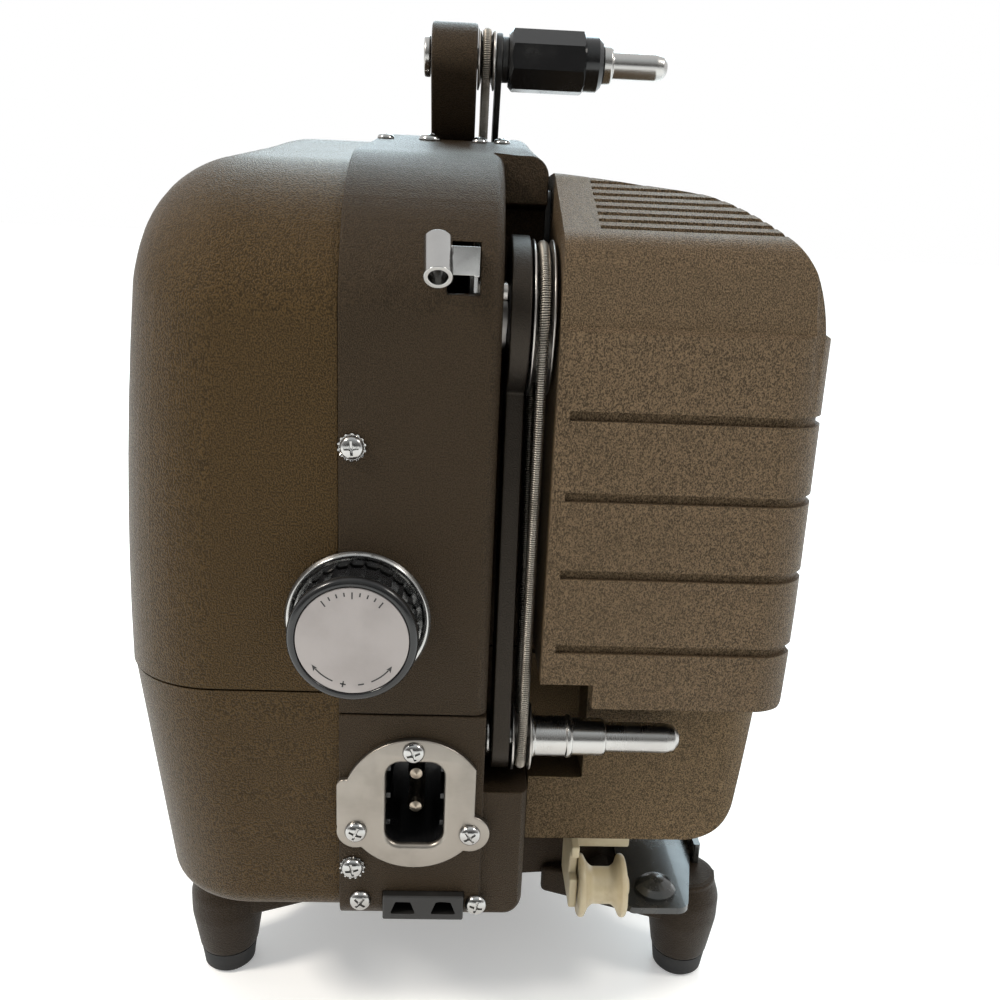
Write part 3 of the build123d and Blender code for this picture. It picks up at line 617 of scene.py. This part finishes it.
def beltTree():
    g, given = newTree("woundBelt", [("Turns", "NodeSocketFloat"), ("Points", "NodeSocketInt"),
                                     ("Coil Radius", "NodeSocketFloat"), ("Wire Radius", "NodeSocketFloat")])
    path = g.node("GeometryNodeMeshToCurve", None, {"Mesh": given["Geometry"]})
    path = g.node("GeometryNodeResampleCurve", None, {"Curve": path, "Count": given["Points"]})
    share = g.node("GeometryNodeSplineParameter")
    angle = share * given["Turns"] * (2 * math.pi)
    tangent = g.node("GeometryNodeInputTangent")
    inward = g.vector("CROSS_PRODUCT", tangent, [1, 0, 0])
    sideways = g.node("ShaderNodeCombineXYZ", None, {0: angle.math("COSINE", angle) * given["Coil Radius"]})
    lift = g.node("ShaderNodeVectorMath", {"operation": "SCALE"},
                  {0: inward, "Scale": angle.math("SINE", angle) * given["Coil Radius"]})
    coiled = g.node("GeometryNodeSetPosition", None,
                    {"Geometry": path, "Offset": g.vector("ADD", sideways, lift)})
    wire = g.node("GeometryNodeCurvePrimitiveCircle", None, {"Resolution": 5, "Radius": given["Wire Radius"]})
    made = g.node("GeometryNodeCurveToMesh", None, {"Curve": coiled, "Profile Curve": wire})
    smooth = g.node("GeometryNodeSetShadeSmooth", None, {"Geometry": made})
    return closeTree(g, smooth, given["Material"])


def makeBelts(settings):
    tree = beltTree()
    for arm, x in settings["lines"].items():
        pulley = jointPlace(arm + "_arm_fold")
        spindle = jointPlace(arm + "_spindle_spin")
        path = beltPath(x, pulley, spindle, settings)
        corners = [v.co for v in path.vertices]
        length = sum((b - a).length for a, b in zip(corners, corners[1:] + corners[:1]))
        turns = round(length / settings["pitch"])
        mesh = grown(arm + "Belt", tree, path, {
            "Turns": float(turns), "Points": turns * settings["pointsPerTurn"],
            "Coil Radius": settings["coil"], "Wire Radius": settings["wire"], "Material": finishes["wire"]})
        addPiece(arm + "Belt", mesh, arm + "_arm", None, [arm + "_belt"])


makeBelts(beltSettings)
print("belts wound")


# Speed knob: a fluted black body with a glossy bezel, its silver face with printed marks, and the dish behind
# Widths and radii of the marks are in millimetres, their places and turns in degrees
knobSettings = {"flutes": 26, "fluteDepth": 0.95, "end": -160.0, "markLift": 0.015,
                "arrowRadius": 11.2, "arrowFrom": 24, "arrowTo": 50, "stemWidth": 0.34, "headOut": 0.8,
                "headIn": 0.5, "headNotch": 0.5, "headLength": 7, "signTurn": 11, "signWidth": 0.36, "signHalf": 3.6,
                "plusCorners": [(0.8, -0.9), (0.8, 0.9), (-0.8, 0.9), (-0.8, -0.9)],
                "tickRadius": 12.2, "ticks": 9, "tickStep": 9, "longTick": 1.7, "shortTick": 1.0,
                "tickOuterHalf": 0.8, "tickInnerHalf": 0.9}


def arcBand(centre, y, radius, width, first, last, steps=20):  # a flat arc that faces the rear
    verts, faces = [], []
    for i in range(steps + 1):
        angle = math.radians(first + (last - first) * i / steps)
        for r in (radius - width / 2, radius + width / 2):
            verts.append((centre.x + r * math.cos(angle) * mm, y, centre.z + r * math.sin(angle) * mm))
    for i in range(steps):
        a = 2 * i
        faces.append((a, a + 1, a + 3, a + 2))
    return verts, faces


def flatMesh(name, shapes):
    verts, faces = [], []
    for some, sides in shapes:
        faces += [tuple(i + len(verts) for i in side) for side in sides]
        verts += some
    mesh = bpy.data.meshes.new(name)
    mesh.from_pydata(verts, [], faces)
    work = bmesh.new()
    work.from_mesh(mesh)
    for face in work.faces:
        if face.normal.y > 0:
            face.normal_flip()
    work.to_mesh(mesh)
    work.free()
    return mesh


def dialMarks(centre, y, settings):
    shapes = []

    def at(radius, degrees):
        angle = math.radians(degrees)
        return (centre.x + radius * math.cos(angle) * mm, y, centre.z + radius * math.sin(angle) * mm)

    middle = settings["arrowRadius"]
    for side in (-1, 1):
        stem, tip = 270 + side * settings["arrowFrom"], 270 + side * settings["arrowTo"]
        shapes.append(arcBand(centre, y, middle, settings["stemWidth"], stem, tip))
        for wing in (middle + settings["headOut"], middle - settings["headIn"]):
            head = [at(middle, tip + side * settings["headLength"]), at(wing, tip - side),
                    at(middle, tip + side * settings["headNotch"])]
            shapes.append((head, [(0, 1, 2)]))
        sign, half = 270 + side * settings["signTurn"], settings["signHalf"]
        shapes.append(arcBand(centre, y, middle, settings["signWidth"], sign - half, sign + half, 6))
    plus = 270 - settings["signTurn"]
    shapes.append(([at(middle + r, plus + turn) for r, turn in settings["plusCorners"]], [(0, 1, 2, 3)]))
    rim, wide, narrow = settings["tickRadius"], settings["tickInnerHalf"], settings["tickOuterHalf"]
    for i in range(settings["ticks"]):
        degrees = 90 + (i - settings["ticks"] // 2) * settings["tickStep"]
        inner = rim - (settings["longTick"] if i % 4 == 0 else settings["shortTick"])
        shapes.append(([at(rim, degrees - narrow), at(rim, degrees + narrow), at(inner, degrees + wide),
                        at(inner, degrees - wide)], [(0, 1, 2, 3)]))
    return flatMesh("dialMarks", shapes)


def makeKnob(settings):
    centre = jointPlace("speed_turn")
    centre.y = 0
    deep = settings["fluteDepth"]
    back, end = rear - 1.8, settings["end"]
    body = [(rear + 9, 0), (rear + 9, 2.5), (back, 2.5), (back, 15.2, deep), (end + 3.4, 15.2, deep),
            (end + 3.0, 14.4), (end + 2.5, 14.4), (end + 2.2, 15.5), (end + 1.3, 15.6), (end + 0.4, 15.1),
            (end, 14.3), (end, 13.6), (end + 0.6, 13.4), (end + 0.7, 0)]
    flutes = settings["flutes"]
    mesh = lathe("speedKnob", body, "Y", centre, soft=0.3, segments=flutes * 12, flutes=flutes)
    addPiece("speedKnob", mesh, "speed_knob", "gloss", ["speed_knob"])
    face = [(end + 0.68, 0), (end + 0.68, 13.3), (end + 0.16, 13.3), (end + 0.1, 13.1), (end + 0.1, 0)]
    mesh = lathe("knobFace", face, "Y", centre, soft=0.05, segments=128)
    addPiece("knobFace", mesh, "speed_knob", "dial", ["knob_face"])
    marks = dialMarks(centre, (end + 0.1 - settings["markLift"]) * mm, settings)
    addPiece("dialMarks", marks, "speed_knob", "ink")
    dish = [(rear, 2.9), (rear, 17.9), (rear - 0.5, 18), (rear - 1.55, 17.3), (rear - 1.45, 16.6),
            (rear - 0.9, 15.9), (rear - 0.8, 2.9)]
    mesh = lathe("dialDish", dish, "Y", centre, soft=0.15, segments=128, closed=True)
    addPiece("dialDish", mesh, "body", "chrome", ["dial_ring"])


makeKnob(knobSettings)
print("speed knob made")


# Spindles, pulleys and the exit roller, turned with fine steps
def pulleyOutline(x, line, bore):
    floor = line - 1.7
    return [(x - 2.6, bore), (x - 2.6, line + 1.5), (x - 2.1, line + 1.6), (x - 1.7, line), (x - 1.2, floor),
            (x + 1.2, floor), (x + 1.7, line), (x + 2.1, line + 1.6), (x + 2.6, line + 1.5), (x + 2.6, bore)]


turnedPieces = [
    {"name": "rearSpindle", "node": "rear_spindle", "body": "rear_spindle", "finish": "spindle", "slot": "chrome",
     "joint": "rear_spindle_spin", "soft": 0.35,
     "outline": [(8.2, 0), (8.2, 5.5), (9.3, 5.5), (9.3, 3.0), (20.2, 3.0), (20.2, 5.6), (20.6, 5.75), (21.1, 5.75),
                 (21.4, 5.35), (29.6, 5.35), (29.9, 5.75), (30.7, 5.75), (31.3, 5.3), (31.4, 5.0), (39.6, 5.0),
                 (40.2, 4.8), (40.4, 4.35), (40.5, 4.0), (57.0, 4.0), (59.4, 3.4), (60.8, 1.8), (61.1, 0)]},
    {"name": "frontSpindle", "node": "front_spindle", "body": "front_spindle", "finish": "spindle",
     "slot": "chrome", "joint": "front_spindle_spin", "soft": 0.4,
     "outline": [(-15.6, 0), (-15.6, 5.5), (-15.2, 5.9), (-13.7, 5.9), (-13.7, 3.0), (39.3, 3.0), (39.3, 5.6),
                 (41.7, 5.6), (42.2, 5.2), (42.3, 4.0), (55.8, 4.0), (58.2, 3.4), (59.5, 1.8), (59.8, 0)]},
    {"name": "rearPulley", "node": "rear_drive_pulley", "body": "rear_pulley", "finish": "turnedSteel",
     "slot": "aluminium", "joint": "rear_arm_fold", "soft": 0.2, "closed": True,
     "outline": pulleyOutline(17.6, 17.6, 4.05)},
    {"name": "rearSmallPulley", "node": "rear_spindle_pulley", "body": "rear_spindle", "finish": "turnedSteel",
     "slot": "aluminium", "joint": "rear_spindle_spin", "soft": 0.2, "closed": True,
     "outline": pulleyOutline(17.6, 7.4, 3.0)},
    {"name": "frontPulley", "node": "front_drive_pulley", "body": "front_pulley", "finish": "turnedSteel",
     "slot": "aluminium", "joint": "front_arm_fold", "soft": 0.2, "closed": True,
     "outline": pulleyOutline(3.4, 17.6, 4.05)},
    {"name": "frontSmallPulley", "node": "front_spindle_pulley", "body": "front_spindle", "finish": "turnedSteel",
     "slot": "aluminium", "joint": "front_spindle_spin", "soft": 0.2, "closed": True,
     "outline": pulleyOutline(3.4, 7.4, 3.0)},
    {"name": "exitRoller", "node": "exit_roller", "body": "exit_roller", "finish": "ivory",
     "slot": "ivory_plastic", "joint": "exit_roller_spin", "soft": 0.6, "closed": True,
     "outline": [(37.2, 1.95), (37.2, 8.3), (37.7, 8.8), (38.9, 8.8), (40.2, 6.4), (41.6, 5.2), (47.2, 5.2),
                 (48.6, 6.4), (49.6, 8.8), (50.7, 8.8), (51.2, 8.3), (51.2, 1.95)]},
]


def makeTurned(pieces):
    for piece in pieces:
        centre = jointPlace(piece["joint"])
        centre.x = 0
        mesh = lathe(piece["name"], piece["outline"], "X", centre, soft=piece["soft"],
                     closed=piece.get("closed", False))
        addPiece(piece["name"], mesh, piece["body"], piece["finish"], [piece["node"]])


makeTurned(turnedPieces)
print("turned pieces made")


# The top of the body is fuller towards the rear than the straight slope of the solids, and the left cover
# lies a little lower than the frame beside it
topSettings = {"rearZ": 227.5, "peakZ": 256.0, "fullRearZ": 240.0, "fullPeakZ": 255.5, "peakY": -25.0,
               "radius": 28.0, "fullRadius": 42.0, "frontSlope": 0.062, "depth": 26.0, "level": 6.0, "ease": 1.5,
               "row": 3.0, "coverDrop": 2.2}


def topHeight(y, rearZ, peakZ, radius, peakY):
    slope = (peakZ - rearZ) / (peakY - rear)
    middle = rear + radius
    if y > middle - radius * math.sin(math.atan(slope)):
        return rearZ + slope * (y - rear)
    centre = rearZ + slope * radius - radius * math.hypot(1, slope)
    return centre + math.sqrt(max(0, radius ** 2 - (y - middle) ** 2))


def topLift(y, settings):
    plain = topHeight(y, settings["rearZ"], settings["peakZ"], settings["radius"], settings["peakY"])
    full = topHeight(y, settings["fullRearZ"], settings["fullPeakZ"], settings["fullRadius"], settings["peakY"])
    lift = max(0, full - plain) if rear < y < settings["peakY"] else 0
    return plain, lift * lift / (lift + settings["ease"])


def liftTop(mesh, drop, settings):
    work = bmesh.new()
    work.from_mesh(mesh)
    row = rear + settings["row"]
    while row < settings["peakY"]:
        bmesh.ops.bisect_plane(work, geom=work.verts[:] + work.edges[:] + work.faces[:], dist=0.0001 * mm,
                               plane_co=(0, row * mm, 0), plane_no=(0, 1, 0))
        row += settings["row"]
    for vert in work.verts:
        y, z = vert.co.y / mm, vert.co.z / mm
        plain, lift = topLift(y, settings)
        if y > settings["peakY"]:
            plain = settings["peakZ"] - settings["frontSlope"] * (y - settings["peakY"])
        share = min(1, max(0, (z - plain + settings["depth"]) / (settings["depth"] - settings["level"])))
        share = share * share * (3 - 2 * share)
        vert.co.z += (lift - drop) * share * mm
    work.to_mesh(mesh)
    work.free()


def makeLeftCover(settings):
    mesh = refine("left_cover_upper", 0.25 * mm)
    liftTop(mesh, settings["coverDrop"], settings)
    addPiece("leftCover", evenNormals(mesh), "body", "leftPaint", ["left_cover_upper"])


# CAD pieces whose sharp edges are broken: node, body, finish, slot, width in millimetres
refinedPieces = [
    ("main_frame", "body", "framePaint", "frame_paint", 0.4),
    ("connector_panel", "body", "framePaint", "frame_paint", 0.35),
    ("roller_bracket", "body", "ivory", "ivory_plastic", 0.5),
    ("outlet_block", "body", "black", "black_plastic", 0.45),
    ("release_lever", "release_lever", "chrome", "chrome", 0.22),
    # the rear arm takes the darker copy of the frame paint, painted shade of its slot
    ("rear_arm", "rear_arm", "armPaint", "frame_paint", 0.5),
    ("front_arm", "front_arm", "framePaint", "frame_paint", 0.8),
    ("front_arm_cheek", "front_arm", "black", "black_plastic", 0.35),
    ("base_casting", "body", "basePaint", "base_paint", 0.8),
]


def refineAll(pieces, top):
    for name, body, finish, slot, width in pieces:
        mesh = refine(name, width * mm)
        if name == "main_frame":
            liftTop(mesh, 0, top)
        mesh = evenNormals(mesh)
        addPiece(name + "Fine", mesh, body, finish, [name])
        print("refined", name, len(mesh.polygons))


refineAll(refinedPieces, topSettings)
makeLeftCover(topSettings)
print("edges broken, top lifted")


# The lamp house leans in above its step
leanSettings = {"step": 204.2, "height": 28.0, "inner": 21.2, "outer": 84.1, "lean": 3.7}


def makeLampHouse(settings):
    mesh = nodes["lamp_house_cover"].data.copy()
    for vert in mesh.vertices:
        across = (vert.co.x / mm - settings["inner"]) / (settings["outer"] - settings["inner"])
        rise = (vert.co.z / mm - settings["step"]) / settings["height"]
        vert.co.x -= settings["lean"] * max(0, across) ** 2 * min(1, max(0, rise)) * mm
    addPiece("lampHouse", mesh, "body", "coverPaint", ["lamp_house_cover"])


makeLampHouse(leanSettings)
print("lamp house made")


# Legs, which swell below the base, with the sloping arms that carry them
legSettings = {"outline": [(7, 0), (7, 8.6), (20, 10.7), (27, 10.7), (34.2, 8.4), (34.2, 0)],
               "places": [(-68.6, -111.0), (-68.6, 104.0), (74.0, -111.0), (74.0, 104.0)],
               "inward": (0.42, 0.9), "outerHalf": 8.6, "innerHalf": 11.0, "outerLow": 19.5, "innerLow": 25.0,
               "top": 33.9, "edge": 1.6}


def legArm(x, y, settings):
    across, along = settings["inward"]
    start, stop = Vector((x, y, 0)), Vector((x * across, y * along, 0))
    side = (stop - start).normalized().cross(Vector((0, 0, 1)))
    work = bmesh.new()
    ends = []
    for point, half, low in ((start, settings["outerHalf"], settings["outerLow"]),
                             (stop, settings["innerHalf"], settings["innerLow"])):
        corners = [(-half, low), (half, low), (half, settings["top"]), (-half, settings["top"])]
        ends.append([work.verts.new((point + side * across + Vector((0, 0, z))) * mm) for across, z in corners])
    work.faces.new(ends[0])
    work.faces.new(ends[1][::-1])
    for i in range(4):
        j = (i + 1) % 4
        work.faces.new((ends[0][i], ends[0][j], ends[1][j], ends[1][i]))
    bmesh.ops.recalc_face_normals(work, faces=work.faces)
    bmesh.ops.bevel(work, geom=work.edges[:], offset=settings["edge"] * mm, segments=3, profile=0.5,
                    affect="EDGES")
    return meshFrom(work, "legArm")


def makeLegs(settings):
    legs = [legArm(x, y, settings) for x, y in settings["places"]]
    for x, y in settings["places"]:
        leg = lathe("leg", settings["outline"], "Y", Vector((0, 0, 0)), soft=1.2, segments=64)
        leg.transform(Matrix.Translation((x * mm, y * mm, 0)) @ Matrix.Rotation(math.pi / 2, 4, "X"))
        legs.append(leg)
    mesh = joined(legs, "legs")
    shadeByAngle(mesh, 50)
    addPiece("legs", mesh, "body", "basePaint")


makeLegs(legSettings)
print("legs made")


# Pan head screws with a crossed recess, and two toothed washers under heads on painted faces
screwSettings = {
    "radius": 2.9, "height": 1.9, "soft": 0.5, "edge": 0.08 * mm,
    "crossWidth": 0.62, "crossReach": 1.75, "crossDepth": 1.1, "pit": (0.35, 1.05, 1.3),
    "teeth": 14, "washerBore": 2.0, "washerRoot": 3.05, "washerTip": 3.4, "washerThick": 0.35, "toothLift": 0.30,
    # x, what lies between head and rear face, z, turn of the cross
    "rearPlaces": [(-10.5, 1.5, 95.5, 20), (-25.2, 1.5, 72.1, 68), (4.6, 1.5, 71.6, 35), (-26.2, 0.35, 60.3, 12),
                   (-24.1, 0, 50.0, 50), (7.0, 0, 49.0, 75), (-26.4, 0.35, 174.4, 5)],
    "washerPlaces": [(-26.2, 60.3, 0), (-26.4, 174.4, 9)],
    # x, y, head radius, turn of the cross
    "topPlaces": [(-27.0, -50, 2.6, 10), (-13.4, -49, 3.4, 40), (2.2, -49, 2.6, 70), (9.2, -49, 2.6, 25)],
}


def screwShape(settings):
    radius, height = settings["radius"], settings["height"]
    dome = [(0, 0), (0, radius), (height * 0.22, radius), (height * 0.62, radius * 0.86),
            (height * 0.88, radius * 0.5), (height, 0)]
    head = held(lathe("screwHead", dome, "X", Vector((0, 0, 0)), soft=settings["soft"], segments=48))
    head.rotation_euler = (0, -math.pi / 2, 0)
    work = bmesh.new()
    long, wide, deep = 2 * settings["crossReach"], settings["crossWidth"], height * settings["crossDepth"]
    for size in ((long, wide, deep), (wide, long, deep)):
        bar = Matrix.Translation((0, 0, height * mm)) @ Matrix.Diagonal([s * mm for s in size] + [1])
        bmesh.ops.create_cube(work, size=1, matrix=bar)
    low, high, depth = (value * mm for value in settings["pit"])
    bmesh.ops.create_cone(work, cap_ends=True, segments=4, radius1=low, radius2=high, depth=depth,
                          matrix=Matrix.Translation((0, 0, height * 0.75 * mm)))
    cutter = held(meshFrom(work, "cross"))
    cut = head.modifiers.new("cross", "BOOLEAN")
    cut.object = cutter
    cut.use_self = True
    edge = head.modifiers.new("edge", "BEVEL")
    edge.width = settings["edge"]
    edge.segments = 2
    edge.angle_limit = math.radians(40)
    mesh = settled(head, "screwShape")
    mesh.transform(Matrix.Rotation(-math.pi / 2, 4, "Y"))
    shadeByAngle(mesh, 35)
    bpy.data.objects.remove(head)
    bpy.data.objects.remove(cutter)
    return mesh


def washerShape(settings):
    verts, faces = [], []
    count = settings["teeth"] * 4
    for i in range(count):
        angle = 2 * math.pi * i / count
        tooth = i % 4 in (0, 1)
        outer = settings["washerTip"] if tooth else settings["washerRoot"]
        lift, thick = settings["toothLift"] if tooth else 0, settings["washerThick"]
        for radius, low, high in ((settings["washerBore"], 0, thick), (outer, lift * 0.4, thick + lift)):
            verts.append((radius * math.cos(angle) * mm, radius * math.sin(angle) * mm, low * mm))
            verts.append((radius * math.cos(angle) * mm, radius * math.sin(angle) * mm, high * mm))
    for i in range(count):
        a, b = 4 * i, 4 * ((i + 1) % count)
        faces += [(a + 1, a + 3, b + 3, b + 1), (a, b, b + 2, a + 2), (a + 2, b + 2, b + 3, a + 3),
                  (a, a + 1, b + 1, b)]
    mesh = bpy.data.meshes.new("washerShape")
    mesh.from_pydata(verts, [], faces)
    return mesh


def scatterTree(name):  # one copy of an object at each point, turned and sized by the point's attributes
    g, given = newTree(name, [("Part", "NodeSocketObject")])
    part = g.node("GeometryNodeObjectInfo", None, {"Object": given["Part"]}, "Geometry")
    turn = g.node("GeometryNodeInputNamedAttribute", {"data_type": "FLOAT_VECTOR"}, {"Name": "turn"})
    size = g.node("GeometryNodeInputNamedAttribute", {"data_type": "FLOAT"}, {"Name": "size"})
    spin = g.node("FunctionNodeEulerToRotation", None, {"Euler": turn})
    copies = g.node("GeometryNodeInstanceOnPoints", None,
                    {"Points": given["Geometry"], "Instance": part, "Rotation": spin, "Scale": size})
    return closeTree(g, copies, given["Material"])


def scattered(name, tree, shape, places, finish):  # places are (point, turning matrix, size)
    points = bpy.data.meshes.new("points")
    points.from_pydata([Vector(place) * mm for place, turn, size in places], [], [])
    points.attributes.new("turn", "FLOAT_VECTOR", "POINT")
    points.attributes.new("size", "FLOAT", "POINT")
    for i, (place, turn, size) in enumerate(places):
        points.attributes["turn"].data[i].vector = turn.to_euler()
        points.attributes["size"].data[i].value = size
    part = held(shape)
    mesh = grown(name, tree, points, {"Part": part, "Material": finishes[finish]})
    bpy.data.objects.remove(part)
    return mesh


def tipped(angle, spin):  # laid back by an angle, then turned about its own axis by degrees
    return Matrix.Rotation(angle, 3, "X") @ Matrix.Rotation(math.radians(spin), 3, "Z")


def makeScrews(settings, top):
    tree = scatterTree("scatter")
    screw = screwShape(settings)
    places = [((x, rear - gap, z), tipped(math.pi / 2, spin), 1.0) for x, gap, z, spin in settings["rearPlaces"]]
    mesh = scattered("rearScrews", tree, screw, places, "chrome")
    addPiece("rearScrews", mesh, "body", None, ["rear_screws"])
    places = [((x, rear, z), tipped(math.pi / 2, spin), 1.0) for x, z, spin in settings["washerPlaces"]]
    mesh = scattered("washers", tree, washerShape(settings), places, "chrome")
    addPiece("washers", mesh, "body", None)
    slope = math.atan((top["fullPeakZ"] - top["fullRearZ"]) / (top["peakY"] - rear))
    places = [((x, y, sum(topLift(y, top))), tipped(slope, spin), radius / settings["radius"])
              for x, y, radius, spin in settings["topPlaces"]]
    mesh = scattered("topScrews", tree, screw, places, "chrome")
    addPiece("topScrews", mesh, "body", None, ["top_screws"])


makeScrews(screwSettings, topSettings)
print("screws and washers set")


# Mains inlet plate, whose opening is drawn inwards with a round lip
plateSettings = {"thick": 1.5, "lip": 1.25, "rim": 0.25, "opening": (-10.0, 80.1, 7.7, 12.2)}  # x, z, half sizes


def makePlate(settings):
    work = mergedNode("inlet_plate")
    x, z, wide, high = (value * mm for value in settings["opening"])
    outside = (rear - settings["thick"]) * mm
    lip, rim = [], []
    for edge in work.edges:
        if edge.calc_face_angle(0) < math.radians(40):
            continue
        if any(abs(v.co.y - outside) > 0.01 * mm for v in edge.verts):
            continue
        inside = all(abs(v.co.x - x) < wide and abs(v.co.z - z) < high for v in edge.verts)
        (lip if inside else rim).append(edge)
    bmesh.ops.bevel(work, geom=lip, offset=settings["lip"] * mm, segments=6, profile=0.5, affect="EDGES",
                    clamp_overlap=False)
    rim = [edge for edge in rim if edge.is_valid]
    bmesh.ops.bevel(work, geom=rim, offset=settings["rim"] * mm, segments=2, profile=0.5, affect="EDGES",
                    clamp_overlap=False)
    mesh = meshFrom(work, "inletPlate")
    shadeByAngle(mesh, 40)
    addPiece("inletPlate", mesh, "body", "aluminium", ["inlet_plate"])


makePlate(plateSettings)
print("inlet plate made")
